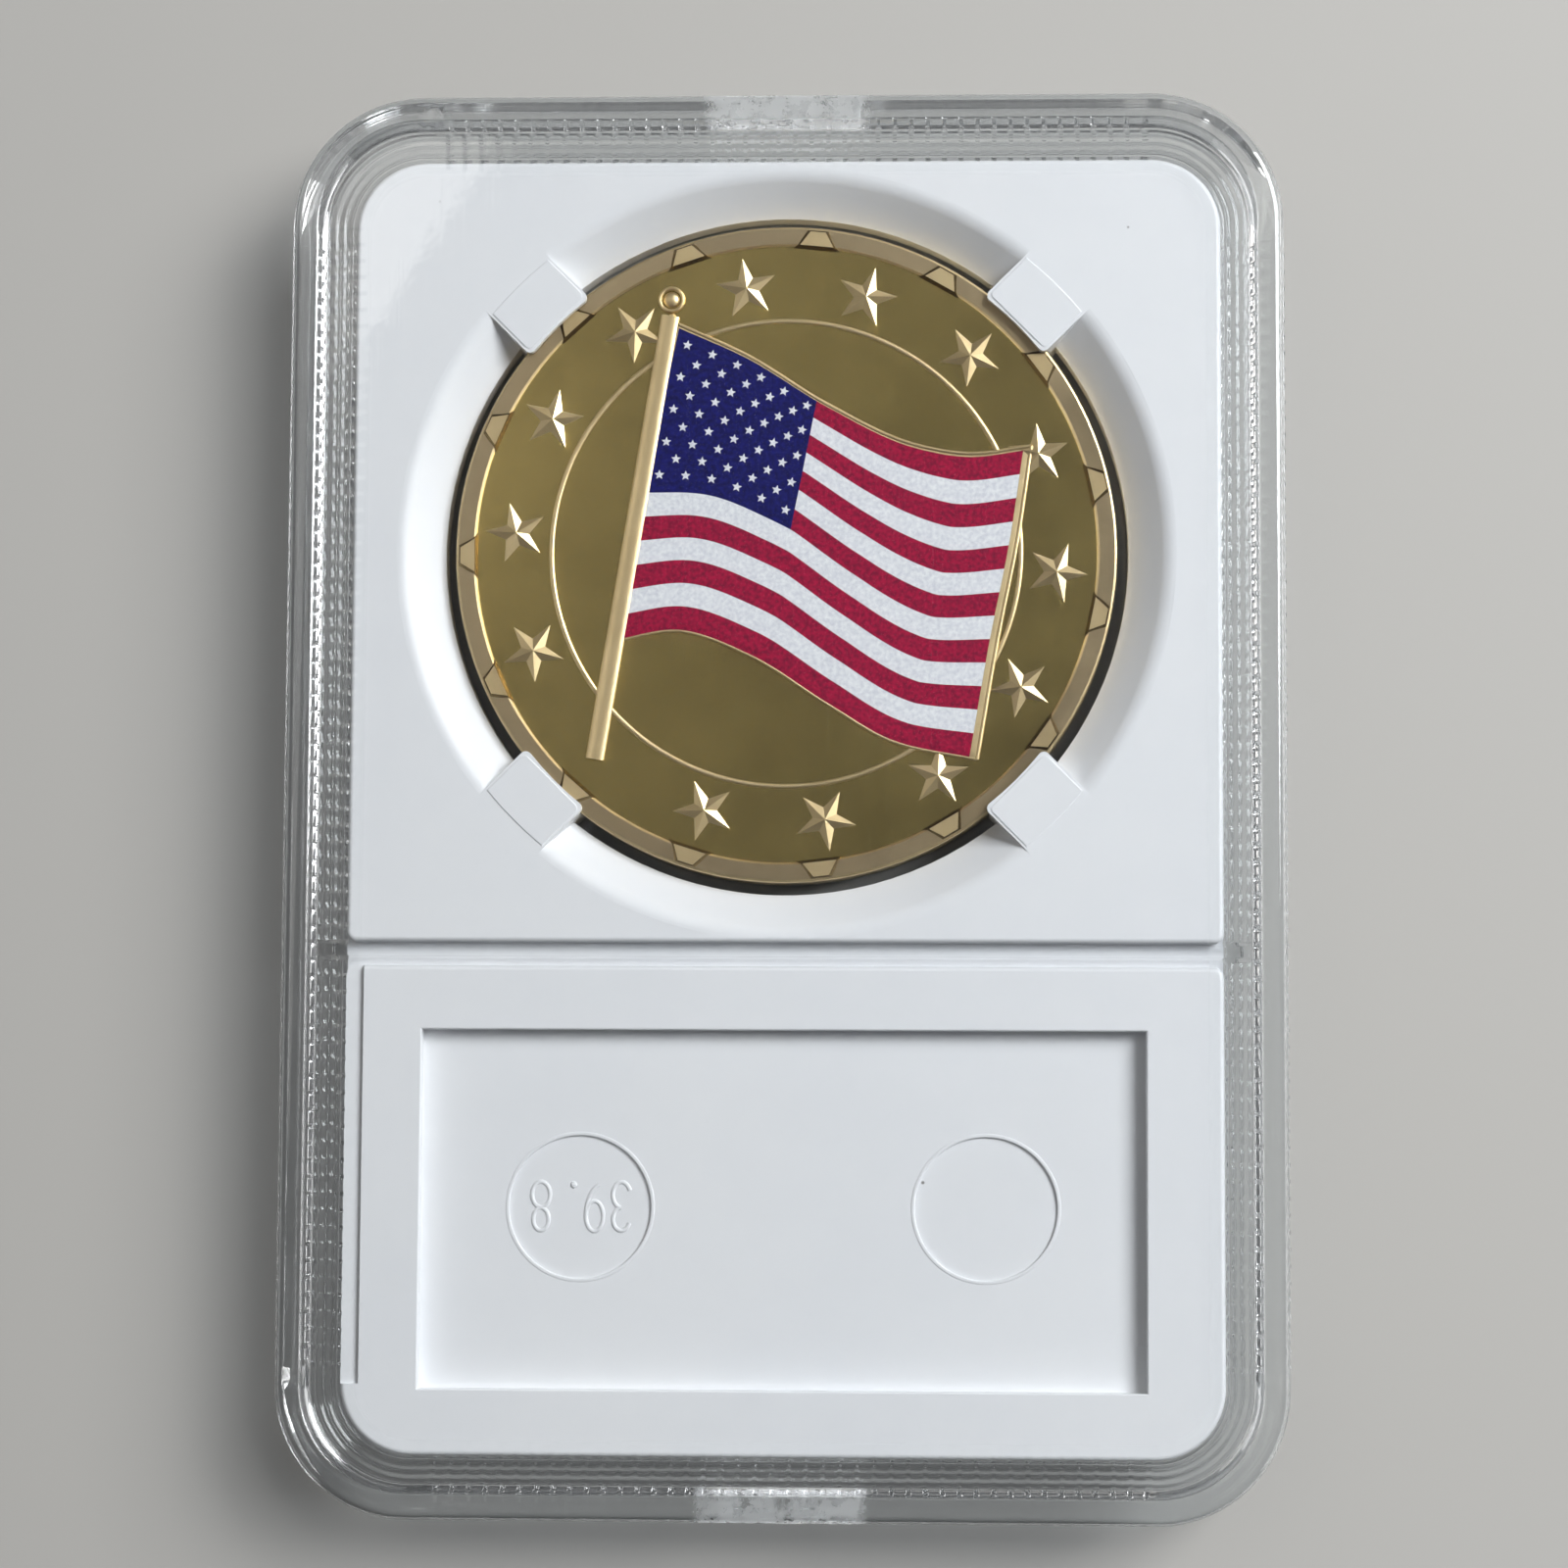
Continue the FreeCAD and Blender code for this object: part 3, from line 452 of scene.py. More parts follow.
def make_size_number(white, middle, floor):
    """The holder's size in millimetres, raised in fine strokes and read from the coin's end."""
    curve = bpy.data.curves.new("size_number", "CURVE")
    curve.dimensions, curve.bevel_depth, curve.bevel_resolution = "3D", STROKE_RADIUS * MM, 2
    for digit, across in zip("39.8", DIGIT_PLACES):
        for stroke in DIGITS[digit]:
            line = curve.splines.new("POLY")
            line.points.add(len(stroke) - 1)
            for point, (x, y) in zip(line.points, stroke):
                place = (middle[0] - (across + x), middle[1] - y, floor)
                point.co = (*(MM * c for c in place), 1)
    number = linked("size_number", curve)
    made = bpy.data.meshes.new_from_object(number)
    for vertex in made.vertices:
        vertex.co.z = floor * MM + (vertex.co.z - floor * MM) * STROKE_FLATTENING
    bpy.data.objects.remove(number)
    for polygon in made.polygons:
        polygon.use_smooth = True
    made.materials.append(white)
    return linked("size_number", made)


# ---------- coin

def lathe(name, profile, segments, materials, centre=COIN_MIDDLE):
    """Turn a closed profile of (radius, height, material) about an upright axis."""
    vertices, faces, indices, rings = [], [], [], []
    for radius, height, _ in profile:
        if radius == 0:
            rings.append([len(vertices)] * segments)
            vertices.append((centre.x, centre.y, height))
            continue
        rings.append(list(range(len(vertices), len(vertices) + segments)))
        for step in range(segments):
            angle = 2 * math.pi * step / segments
            vertices.append((centre.x + radius * math.cos(angle),
                             centre.y + radius * math.sin(angle), height))
    for place, (inner, outer) in enumerate(zip(rings, rings[1:])):
        material = min(profile[place][2], profile[place + 1][2])
        for step in range(segments):
            on = (step + 1) % segments
            face = [inner[step], outer[step], outer[on], inner[on]]
            faces.append([v for k, v in enumerate(face) if v not in face[:k]])
            indices.append(material)
    turned = mesh_object(name, vertices, faces, indices)
    for material in materials:
        turned.data.materials.append(material)
    return turned


def coin_face_profile(face, way):
    """Half profile of one side, from the axis to the edge; way is 1 in front and -1 at the back."""
    rim = COIN_RADIUS - RIM_WIDTH
    deep, top = face - way * RELIEF, face - way * RIM_DROP
    ring = [(RING_RADIUS + 0.15 * math.cos(a), deep + way * RING_HEIGHT * math.sin(a), 1)
            for a in np.linspace(math.pi, 0, 7)]
    return [(0, deep, 0), (8.0, deep, 0), *ring, (rim - 0.14, deep, 0),
            (rim - 0.1, deep + way * 0.03, 1), (rim - 0.03, top - way * 0.04, 1), (rim + 0.03, top, 2),
            (COIN_RADIUS - 0.16, top, 2), (COIN_RADIUS - 0.05, top - way * 0.05, 1),
            (COIN_RADIUS, top - way * 0.16, 1)]


def star_mesh(name, radius, height, inner=0.4):
    """Faceted five-pointed star with one point along +Y, its foot at height 0."""
    corners = [(0, 0, height)]
    for corner in range(10):
        reach = radius * (1.0 if corner % 2 == 0 else inner)
        angle = math.pi / 2 + math.pi * corner / 5
        corners.append((reach * math.cos(angle), reach * math.sin(angle), 0))
    faces = [(0, 1 + k, 1 + (k + 1) % 10) for k in range(10)] + [tuple(range(10, 0, -1))]
    return mesh_object(name, corners, faces)


def frustum(name, foot, top):
    """Block between two trapezoids (half width, low y, half width, high y, height)."""
    corners = [corner for wide, low, narrow, high, z in (foot, top)
               for corner in ((-wide, low, z), (wide, low, z), (narrow, high, z), (-narrow, high, z))]
    faces = [(3, 2, 1, 0), (4, 5, 6, 7)] + [(k, (k + 1) % 4, 4 + (k + 1) % 4, 4 + k) for k in range(4)]
    return mesh_object(name, corners, faces)


def geometry_tree(name, inputs):
    """An empty Geometry Nodes tree with named inputs (name, socket type, first value)."""
    tree = bpy.data.node_groups.new(name, "GeometryNodeTree")
    tree.interface.new_socket("Geometry", in_out="INPUT", socket_type="NodeSocketGeometry")
    for label, kind, value in inputs:
        socket = tree.interface.new_socket(label, in_out="INPUT", socket_type=kind)
        if value is not None:
            socket.default_value = value
    tree.interface.new_socket("Geometry", in_out="OUTPUT", socket_type="NodeSocketGeometry")
    return tree


def add(tree, kind, links=(), **settings):
    """A node with its settings and links, given as (input, output socket or plain value)."""
    made = tree.nodes.new(kind)
    for name, value in settings.items():
        setattr(made, name, value)
    for socket, source in links:
        if isinstance(source, bpy.types.NodeSocket):
            tree.links.new(source, made.inputs[socket])
        else:
            made.inputs[socket].default_value = source
    return made


def compute(tree, operation, *values, clamp=False):
    """Result of a Math node on sockets or plain values."""
    return add(tree, "ShaderNodeMath", list(enumerate(values)), operation=operation,
               use_clamp=clamp).outputs[0]


def dress_copies(tree, given, points, facing, kept=True):
    """The end of a tree: the part on the kept points, made real and given its material."""
    part = add(tree, "GeometryNodeObjectInfo", [("Object", given["Part"])])
    copies = add(tree, "GeometryNodeInstanceOnPoints", [
        ("Points", points), ("Selection", kept), ("Instance", part.outputs["Geometry"]),
        ("Rotation", facing)])
    real = add(tree, "GeometryNodeRealizeInstances", [(0, copies.outputs[0])])
    dressed = add(tree, "GeometryNodeSetMaterial", [
        (0, real.outputs[0]), ("Material", given["Material"])])
    add(tree, "NodeGroupOutput", [(0, dressed.outputs[0])])
    return tree


def ring_tree():
    """Copies of a part on a circle, clockwise from a start angle; one place may be left out."""
    tree = geometry_tree("ring_of_parts", [
        ("Part", "NodeSocketObject", None), ("Places", "NodeSocketInt", 14),
        ("Radius", "NodeSocketFloat", 0.0165), ("Start", "NodeSocketFloat", 0.0),
        ("Left out", "NodeSocketInt", -1), ("Centre", "NodeSocketVector", (0, 0, 0)),
        ("Material", "NodeSocketMaterial", None)])
    given = tree.nodes.new("NodeGroupInput").outputs
    points = add(tree, "GeometryNodePoints", [("Count", given["Places"])])
    index = add(tree, "GeometryNodeInputIndex").outputs[0]
    share = compute(tree, "DIVIDE", index, given["Places"])
    turn = compute(tree, "MULTIPLY_ADD", share, -2 * math.pi, given["Start"])
    along = [(axis, compute(tree, kind, turn)) for axis, kind in enumerate(("COSINE", "SINE"))]
    way = add(tree, "ShaderNodeCombineXYZ", along).outputs[0]
    place = add(tree, "ShaderNodeVectorMath", [(0, way), (3, given["Radius"])],
                operation="SCALE").outputs[0]
    placed = add(tree, "ShaderNodeVectorMath", [(0, place), (1, given["Centre"])]).outputs[0]
    moved = add(tree, "GeometryNodeSetPosition", [(0, points.outputs[0]), ("Position", placed)])
    kept = add(tree, "FunctionNodeCompare", [(2, index), (3, given["Left out"])],
               data_type="INT", operation="NOT_EQUAL").outputs[0]
    quarter = compute(tree, "SUBTRACT", turn, math.pi / 2)
    facing = add(tree, "ShaderNodeCombineXYZ", [(2, quarter)]).outputs[0]
    return dress_copies(tree, given, moved.outputs[0], facing, kept)


def scatter_tree():
    """A part on every point of a mesh, turned about Z by the mesh's own turn attribute."""
    tree = geometry_tree("parts_on_points", [
        ("Part", "NodeSocketObject", None), ("Material", "NodeSocketMaterial", None)])
    given = tree.nodes.new("NodeGroupInput").outputs
    turn = add(tree, "GeometryNodeInputNamedAttribute", [("Name", "turn")], data_type="FLOAT").outputs[0]
    facing = add(tree, "ShaderNodeCombineXYZ", [(2, turn)]).outputs[0]
    return dress_copies(tree, given, given["Geometry"], facing)


def grown(name, tree, mesh=None, **values):
    """A plain object made by a tree; underscores in the value names stand for spaces."""
    thing = linked(name, mesh or bpy.data.meshes.new(name))
    modifier = thing.modifiers.new("grow", "NODES")
    modifier.node_group = tree
    for item in tree.interface.items_tree:
        label = item.name.replace(" ", "_")
        if item.in_out == "INPUT" and label in values:
            modifier[item.identifier] = values[label]
    return make_plain(thing)


def flag_point(across, down):
    """Point of the waving flag: across from the pole 0 to the fly 1, down from 0 to 1."""
    top, low = spline(FLAG_TOP, across), spline(FLAG_LOW, across)
    hoist_top, hoist_low = np.array(FLAG_TOP[0]), np.array(FLAG_LOW[0])
    hoist = hoist_top + (hoist_low - hoist_top) * down
    fly = spline(FLAG_FLY, down)
    straight = ((1 - across) * (1 - down) * hoist_top + across * (1 - down) * np.array(FLAG_TOP[-1])
                + (1 - across) * down * hoist_low + across * down * np.array(FLAG_LOW[-1]))
    point = (1 - down) * top + down * low + (1 - across) * hoist + across * fly - straight
    shares, lifts = zip(*FLAG_SWELL)
    point[1] += 4 * down * (1 - down) * float(np.interp(across, shares, lifts))
    return point


def flag_plate(name, foot, height, across_steps=60, down_steps=52):
    """Raised plate of the flag's shape, closed down to the coin's field, with rounded shoulders."""
    vertices, faces = [], []
    width, depth = across_steps + 1, down_steps + 1
    for row in range(depth):
        for column in range(width):
            shoulder = 0.05 if row in (0, down_steps) or column == across_steps else 0.0
            point = flag_point(column / across_steps, row / down_steps)
            vertices.append(on_coin(point, height - shoulder))
    base = len(vertices)
    vertices += [(x, y, foot) for x, y, _ in vertices]
    for row in range(down_steps):
        for column in range(across_steps):
            a = row * width + column
            faces.append((a, a + width, a + width + 1, a + 1))
            faces.append(tuple(base + k for k in (a, a + 1, a + width + 1, a + width)))
    rim = ([r * width for r in range(depth)] + [down_steps * width + c for c in range(1, width)]
           + [r * width + across_steps for r in range(down_steps - 1, -1, -1)]
           + [c for c in range(across_steps - 1, 0, -1)])
    faces += [(a, base + a, base + b, b) for a, b in zip(rim, rim[1:] + rim[:1])]
    return mesh_object(name, vertices, faces)


def ridge(name, points, width, height, foot, power=0.6):
    """A ridge with rounded shoulders along a line of points on the coin, closed underneath."""
    points = [np.array(p, float) for p in points]
    section = [(math.cos(a), math.sin(a)) for a in np.linspace(math.pi, 0, 9)]
    vertices, faces = [], []
    for place, point in enumerate(points):
        before, after = points[max(0, place - 1)], points[min(len(points) - 1, place + 1)]
        along = (after - before) / np.hypot(*(after - before))
        side = np.array([-along[1], along[0]])
        vertices += [on_coin(point + side * c * width / 2, foot + height * s**power) for c, s in section]
    count = len(section)
    for place in range(len(points) - 1):
        a, b = place * count, (place + 1) * count
        faces += band(a, b, count) + [(a, b, b + count - 1, a + count - 1)]
    last = (len(points) - 1) * count
    faces += [tuple(range(count)), tuple(range(last + count - 1, last - 1, -1))]
    return mesh_object(name, vertices, faces)


def dome(name, middle, radius, height, foot, rings=8, segments=32):
    """Low round knob on the coin's face."""
    vertices = [on_coin(middle, foot + height)]
    faces = []
    for ring in range(1, rings + 1):
        angle = math.pi / 2 * ring / rings
        for step in range(segments):
            turn = 2 * math.pi * step / segments
            place = (middle[0] + radius * math.sin(angle) * math.cos(turn),
                     middle[1] + radius * math.sin(angle) * math.sin(turn))
            vertices.append(on_coin(place, foot + height * math.cos(angle)))
    for step in range(segments):
        on = (step + 1) % segments
        faces.append((0, 1 + step, 1 + on))
        for ring in range(rings - 1):
            a = 1 + ring * segments
            faces.append((a + step, a + segments + step, a + segments + on, a + on))
    faces.append([1 + (rings - 1) * segments + s for s in range(segments - 1, -1, -1)])
    return mesh_object(name, vertices, faces)


def make_flag_print(red, white, blue, stars):
    """The printed skin of the flag: stripes and canton, and the canton's stars on top."""
    across_steps, per_stripe = 100, 4
    down_steps = STRIPES * per_stripe
    canton_columns = round(across_steps * CANTON)
    height = FIELD + FLAG_LIFT + INK
    vertices, faces, indices = [], [], []
    for row in range(down_steps + 1):
        for column in range(across_steps + 1):
            across = 0.004 + 0.976 * column / across_steps
            down = 0.012 + 0.985 * row / down_steps
            edge = 0.03 if row == down_steps else 0.0
            vertices.append(on_coin(flag_point(across, down), height - edge))
    width = across_steps + 1
    for row in range(down_steps):
        stripe = row // per_stripe
        for column in range(across_steps):
            a = row * width + column
            faces.append((a, a + width, a + width + 1, a + 1))
            in_canton = stripe < CANTON_STRIPES and column < canton_columns
            indices.append(2 if in_canton else stripe % 2)
    skin = mesh_object("flag_skin", vertices, faces, indices)
    for material in (red, white, blue):
        skin.data.materials.append(material)
    for polygon in skin.data.polygons:
        polygon.use_smooth = True
    skin.modifiers.new("thickness", "SOLIDIFY").thickness = 0.02 * MM
    make_plain(skin)

    places, turns = [], []
    for row in range(9):
        for column in range(6 if row % 2 == 0 else 5):
            across = CANTON * (2 * column + 1 + row % 2) / 12
            down = CANTON_STRIPES / STRIPES * (row + 1) / 10
            point = flag_point(across, down)
            ahead = flag_point(across + 0.01, down) - point
            places.append(tuple(MM * c for c in on_coin(point, height + INK)))
            turns.append(math.atan2(ahead[1], ahead[0]) * 0.5)
    points = bpy.data.meshes.new("canton_places")
    points.from_pydata(places, [], [])
    points.attributes.new("turn", "FLOAT", "POINT").data.foreach_set("value", turns)
    star = star_mesh("small_star", 0.31, INK, 0.45)
    canton = grown("canton_stars", scatter_tree(), points, Part=star, Material=stars)
    bpy.data.objects.remove(star)
    return join([skin, canton], "flag_print")


def make_coin(proof, frosted, dull, dark):
    """The struck coin: blank, circle of stars, rim's trapezoids, pole, and the flag's raised plate."""
    front = coin_face_profile(COIN_HIGH.z, 1)
    back = coin_face_profile(COIN_LOW.z, -1)
    blank = lathe("coin_blank", front + back[::-1], 256, (proof, frosted, dull))
    star = star_mesh("coin_star", STAR_RADIUS, STAR_HEIGHT)
    bump = frustum("rim_trapezoid", (1.38, -0.24, 0.78, 0.98, -0.28), (1.06, -0.08, 0.5, 0.86, -0.01))
    plate = frustum("rim_trapezoid_top", (1.02, -0.05, 0.48, 0.83, -0.02), (1.0, -0.04, 0.46, 0.82, 0.0))
    low_star = star_mesh("back_star", BACK_STAR_RADIUS, 0.22)
    small_star = star_mesh("small_back_star", 1.5, 0.2)
    for hanging in (low_star, small_star):
        hanging.data.transform(Matrix.Scale(-1, 4, (0, 0, 1)))
        hanging.data.flip_normals()
    rim = COIN_RADIUS - RIM_WIDTH
    # Name, part, places, circle's radius, first angle, the place left out, height, material.
    rings = [
        ("front_stars", star, FRONT_PLACES, STAR_CIRCLE, FRONT_START, FRONT_LEFT_OUT, FIELD, frosted),
        # The trapezoid blocks' sloping sides take the dark brass: painted shade round each frosted top.
        ("rim_trapezoids", bump, TRAPEZOIDS, rim, TRAPEZOID_START, -1, COIN_HIGH.z, dark),
        ("rim_trapezoid_tops", plate, TRAPEZOIDS, rim, TRAPEZOID_START, -1, COIN_HIGH.z, frosted),
        ("back_star_middle", low_star, 1, 0.0, math.pi / 2, -1, COIN_LOW.z + RELIEF, frosted),
        ("back_stars", small_star, BACK_PLACES, STAR_CIRCLE, 0.0, -1, COIN_LOW.z + RELIEF, frosted),
    ]
    tree = ring_tree()
    parts = [blank] + [
        grown(name, tree, Part=part, Places=places, Radius=radius * MM, Start=start, Left_out=left_out,
              Centre=tuple(MM * c for c in on_coin((0, 0), height)), Material=material)
        for name, part, places, radius, start, left_out, height, material in rings]
    top, low, fly = ([spline(line, s) for s in np.linspace(0, 1, 80)]
                     for line in (FLAG_TOP, FLAG_LOW, FLAG_FLY))
    foot, head = np.array(POLE_FOOT), np.array(POLE_TOP)
    pole = [foot + (head - foot) * s for s in np.linspace(0, 1, 24)]
    x, y, radius = BALL
    circle = arc(x, y, radius - 0.1, radius - 0.1, 0, 360, 40)
    sunk = FIELD - 0.02
    raised = [
        flag_plate("flag_plate", FIELD - 0.05, FIELD + FLAG_LIFT),
        ridge("flag_upper_edge", top, 0.24, 0.17, FIELD),
        ridge("flag_lower_edge", low, 0.2, 0.13, FIELD),
        ridge("flag_fly_edge", fly, 0.26, 0.17, FIELD),
        ridge("flagpole", pole, POLE_WIDTH, 0.3, sunk, 0.35),
        dome("pole_foot", (POLE_FOOT[0] + 0.1, POLE_FOOT[1] + 0.45), 0.36, 0.1, FIELD + 0.16),
        ridge("pole_ball_ring", circle, 0.24, 0.24, sunk),
        dome("pole_ball", (x, y), radius - 0.3, 0.26, sunk),
        dome("pole_knob", (x + 0.05, y - 1.02), 0.2, 0.28, sunk),
    ]
    for thing in raised:
        thing.data.materials.append(frosted)
    for thing in (star, bump, plate, low_star, small_star):
        bpy.data.objects.remove(thing)
    return smooth(join(parts + raised, "struck_coin"), 24)


# ---------- shader groups and materials

def shader_group(name, inputs, outputs):
    """A shader node group with named sockets; returns the tree, its inputs and its output node."""
    tree = bpy.data.node_groups.new(name, "ShaderNodeTree")
    for label, kind, value in inputs:
        tree.interface.new_socket(label, in_out="INPUT", socket_type=kind).default_value = value
    for label, kind in outputs:
        tree.interface.new_socket(label, in_out="OUTPUT", socket_type=kind)
    return tree, tree.nodes.new("NodeGroupInput").outputs, tree.nodes.new("NodeGroupOutput")


def object_place(tree):
    """Place on the object, in millimetres."""
    where = add(tree, "ShaderNodeTexCoord").outputs["Object"]
    return add(tree, "ShaderNodeVectorMath", [(0, where), (3, 1000.0)], operation="SCALE").outputs[0]


def noise(tree, place, scale, detail=3.0, roughness=0.5):
    """Value of a soft noise at a place."""
    return add(tree, "ShaderNodeTexNoise", [("Vector", place), ("Scale", scale), ("Detail", detail),
                                            ("Roughness", roughness)]).outputs["Fac"]


def split(tree, vector):
    """The three parts of a vector."""
    return add(tree, "ShaderNodeSeparateXYZ", [(0, vector)]).outputs


def ramp(tree, value, low, high, bottom=0.0, top=1.0):
    """Map a value from low..high to bottom..top, held at both ends."""
    return add(tree, "ShaderNodeMapRange", [
        ("Value", value), ("From Min", low), ("From Max", high), ("To Min", bottom), ("To Max", top),
    ]).outputs[0]


def blend_colour(tree, share, first, second):
    """Mix of two colours by a share."""
    mixer = add(tree, "ShaderNodeMix", [(0, share), (6, first), (7, second)], data_type="RGBA")
    return mixer.outputs[2]


def mottling_group():
    """Cloudy and fine patches between two colours, with a height that follows the fine patches."""
    tree, given, out = shader_group("mottling", [
        ("First", "NodeSocketColor", (1, 1, 1, 1)), ("Second", "NodeSocketColor", (0, 0, 0, 1)),
        ("Cloud size", "NodeSocketFloat", 0.2), ("Grain size", "NodeSocketFloat", 8.0),
        ("Grain share", "NodeSocketFloat", 0.3)],
        [("Colour", "NodeSocketColor"), ("Share", "NodeSocketFloat"), ("Height", "NodeSocketFloat")])
    place = object_place(tree)
    cloud = ramp(tree, noise(tree, place, given["Cloud size"], 5.0, 0.62), 0.38, 0.66)
    grain = ramp(tree, noise(tree, place, given["Grain size"], 2.0), 0.3, 0.7)
    share = add(tree, "ShaderNodeMix", [(0, given["Grain share"]), (2, cloud), (3, grain)]).outputs[0]
    colour = blend_colour(tree, share, given["First"], given["Second"])
    for label, source in (("Colour", colour), ("Share", share), ("Height", grain)):
        tree.links.new(source, out.inputs[label])
    return tree


def scuff_group():
    """Fine straight scratches in a few directions, and scattered specks."""
    tree, given, out = shader_group("scuffs", [
        ("Scratch density", "NodeSocketFloat", 0.5), ("Speck size", "NodeSocketFloat", 0.6)],
        [("Scratches", "NodeSocketFloat"), ("Specks", "NodeSocketFloat")])
    place = object_place(tree)
    total = None
    for turn, stretch in ((0.4, 0.05), (1.9, 0.07), (2.7, 0.04)):
        turned = add(tree, "ShaderNodeMapping", [
            ("Vector", place), ("Rotation", (0, 0, turn)), ("Scale", (3.0, stretch, 1.0))]).outputs[0]
        line = ramp(tree, noise(tree, turned, 1.6, 2.0), 0.66, 0.72)
        total = line if total is None else compute(tree, "MAXIMUM", total, line)
    scratches = compute(tree, "MULTIPLY", total, given["Scratch density"])
    cells = add(tree, "ShaderNodeTexVoronoi", [
        ("Vector", place), ("Scale", given["Speck size"]), ("Randomness", 1.0)]).outputs["Distance"]
    specks = ramp(tree, cells, 0.012, 0.02, 1.0, 0.0)
    tree.links.new(scratches, out.inputs["Scratches"])
    tree.links.new(specks, out.inputs["Specks"])
    return tree


STEEP_LETS_THROUGH, LEVEL_LETS_THROUGH = (0.7, 0.71, 0.72, 1), (0.96, 0.965, 0.97, 1)


def new_material(name):
    """A material with a Principled shader; returns the material, its tree and the shader."""
    material = bpy.data.materials.new(name)
    material.use_nodes = True
    return material, material.node_tree, material.node_tree.nodes["Principled BSDF"]


def use_group(tree, group, **values):
    """Outputs of a group with these inputs; underscores in the names stand for spaces."""
    made = tree.nodes.new("ShaderNodeGroup")
    made.node_tree = group
    for label, value in values.items():
        made.inputs[label.replace("_", " ")].default_value = value
    return made.outputs


def bump(tree, shader, height, strength, distance):
    """Small relief from a height."""
    made = add(tree, "ShaderNodeBump", [("Height", height), ("Strength", strength),
                                       ("Distance", distance * MM)])
    tree.links.new(made.outputs[0], shader.inputs["Normal"])


def clear_plastic(name, scuffs, mottling, tint, clearness=1.0):
    """Clear polystyrene: glossy, faintly scratched, frosted round the pry slots.

    Light that only passes through on its way to another face is dimmed instead of bent, more at steep
    faces than at level ones.
    """
    material, tree, shader = new_material(name)
    marks = use_group(tree, scuffs, Scratch_density=0.6, Speck_size=0.35)
    clouds = use_group(tree, mottling, Cloud_size=0.15, Grain_size=0.6, Grain_share=0.5)
    place = object_place(tree)
    apart = split(tree, place)
    across, along = (compute(tree, "ABSOLUTE", apart[axis]) for axis in (0, 1))
    near = ramp(tree, across, SLOT_HALF + 0.9, SLOT_HALF + 0.2)
    end = ramp(tree, along, HALF_LENGTH - 2.1, HALF_LENGTH - 1.7)
    patch = ramp(tree, noise(tree, place, 1.1, 4.0, 0.7), 0.42, 0.56)
    frost = compute(tree, "MULTIPLY", compute(tree, "MULTIPLY", near, end), patch)
    base = compute(tree, "MULTIPLY_ADD", marks["Scratches"], 0.12, 0.02)
    rough = compute(tree, "MULTIPLY_ADD", frost, 0.6, base, clamp=True)
    tree.links.new(rough, shader.inputs["Roughness"])
    shader.inputs["Base Color"].default_value = tint
    shader.inputs["Metallic"].default_value = 0.0
    shader.inputs["IOR"].default_value = 1.58
    shader.inputs["Transmission Weight"].default_value = clearness
    bump(tree, shader, clouds["Height"], 0.1, 0.01)
    normal = add(tree, "ShaderNodeNewGeometry").outputs["Normal"]
    level = ramp(tree, compute(tree, "ABSOLUTE", split(tree, normal)[2]), 0.3, 0.9)
    let_through = blend_colour(tree, level, STEEP_LETS_THROUGH, LEVEL_LETS_THROUGH)
    shade = add(tree, "ShaderNodeBsdfTransparent", [("Color", let_through)])
    ray = add(tree, "ShaderNodeLightPath").outputs
    passing = compute(tree, "MAXIMUM", ray["Is Shadow Ray"], ray["Is Diffuse Ray"])
    mixed = add(tree, "ShaderNodeMixShader", [
        (0, passing), (1, shader.outputs[0]), (2, shade.outputs[0])])
    tree.links.new(mixed.outputs[0], tree.nodes["Material Output"].inputs["Surface"])
    return material


def white_plastic(mottling, scuffs):
    """White insert: satin, very slightly uneven, with a few dust specks."""
    material, tree, shader = new_material("white_plastic")
    clouds = use_group(tree, mottling, First=(0.84, 0.845, 0.855, 1), Second=(0.79, 0.8, 0.82, 1),
                       Cloud_size=0.05, Grain_size=1.2, Grain_share=0.25)
    marks = use_group(tree, scuffs, Scratch_density=0.4, Speck_size=0.16)
    dusted = blend_colour(tree, marks["Specks"], clouds["Colour"], (0.25, 0.24, 0.23, 1))
    tree.links.new(dusted, shader.inputs["Base Color"])
    tree.links.new(ramp(tree, clouds["Share"], 0.0, 1.0, 0.42, 0.52), shader.inputs["Roughness"])
    bump(tree, shader, clouds["Height"], 0.04, 0.02)
    return material


def lower_right_darkening(tree):
    """0 at the coin's upper left, rising in blotches towards its lower right."""
    place = object_place(tree)
    apart = split(tree, place)
    across = compute(tree, "MULTIPLY_ADD", apart[0], 0.04, 0.35)
    along = compute(tree, "MULTIPLY_ADD", apart[1], -0.018, across)
    blotches = ramp(tree, noise(tree, place, 0.16, 6.0, 0.7), 0.3, 0.7, 0.0, 0.75)
    return compute(tree, "MULTIPLY", along, blotches, clamp=True)


def brass(name, light, dark, rough, mottling, scuffs, strength):
    """Struck brass: clouds between two tones, darker in blotches towards the lower right, fine
    hairlines, and a few dark spots.
    """
    material, tree, shader = new_material(name)
    clouds = use_group(tree, mottling, First=light, Second=dark, Cloud_size=0.09, Grain_size=5.0,
                       Grain_share=0.08)
    marks = use_group(tree, scuffs, Scratch_density=1.0, Speck_size=0.3)
    darker_tone = [0.6 * c for c in dark[:3]] + [1]
    # Darker towards the coin's lower right, in blotches.
    darkened = blend_colour(tree, lower_right_darkening(tree), clouds["Colour"], darker_tone)
    spotted = blend_colour(tree, marks["Specks"], darkened, (0.16, 0.12, 0.06, 1))
    tree.links.new(spotted, shader.inputs["Base Color"])
    shader.inputs["Metallic"].default_value = 1.0
    tree.links.new(ramp(tree, clouds["Share"], 0.0, 1.0, *rough), shader.inputs["Roughness"])
    bump(tree, shader, marks["Scratches"], strength, 0.012)
    return material


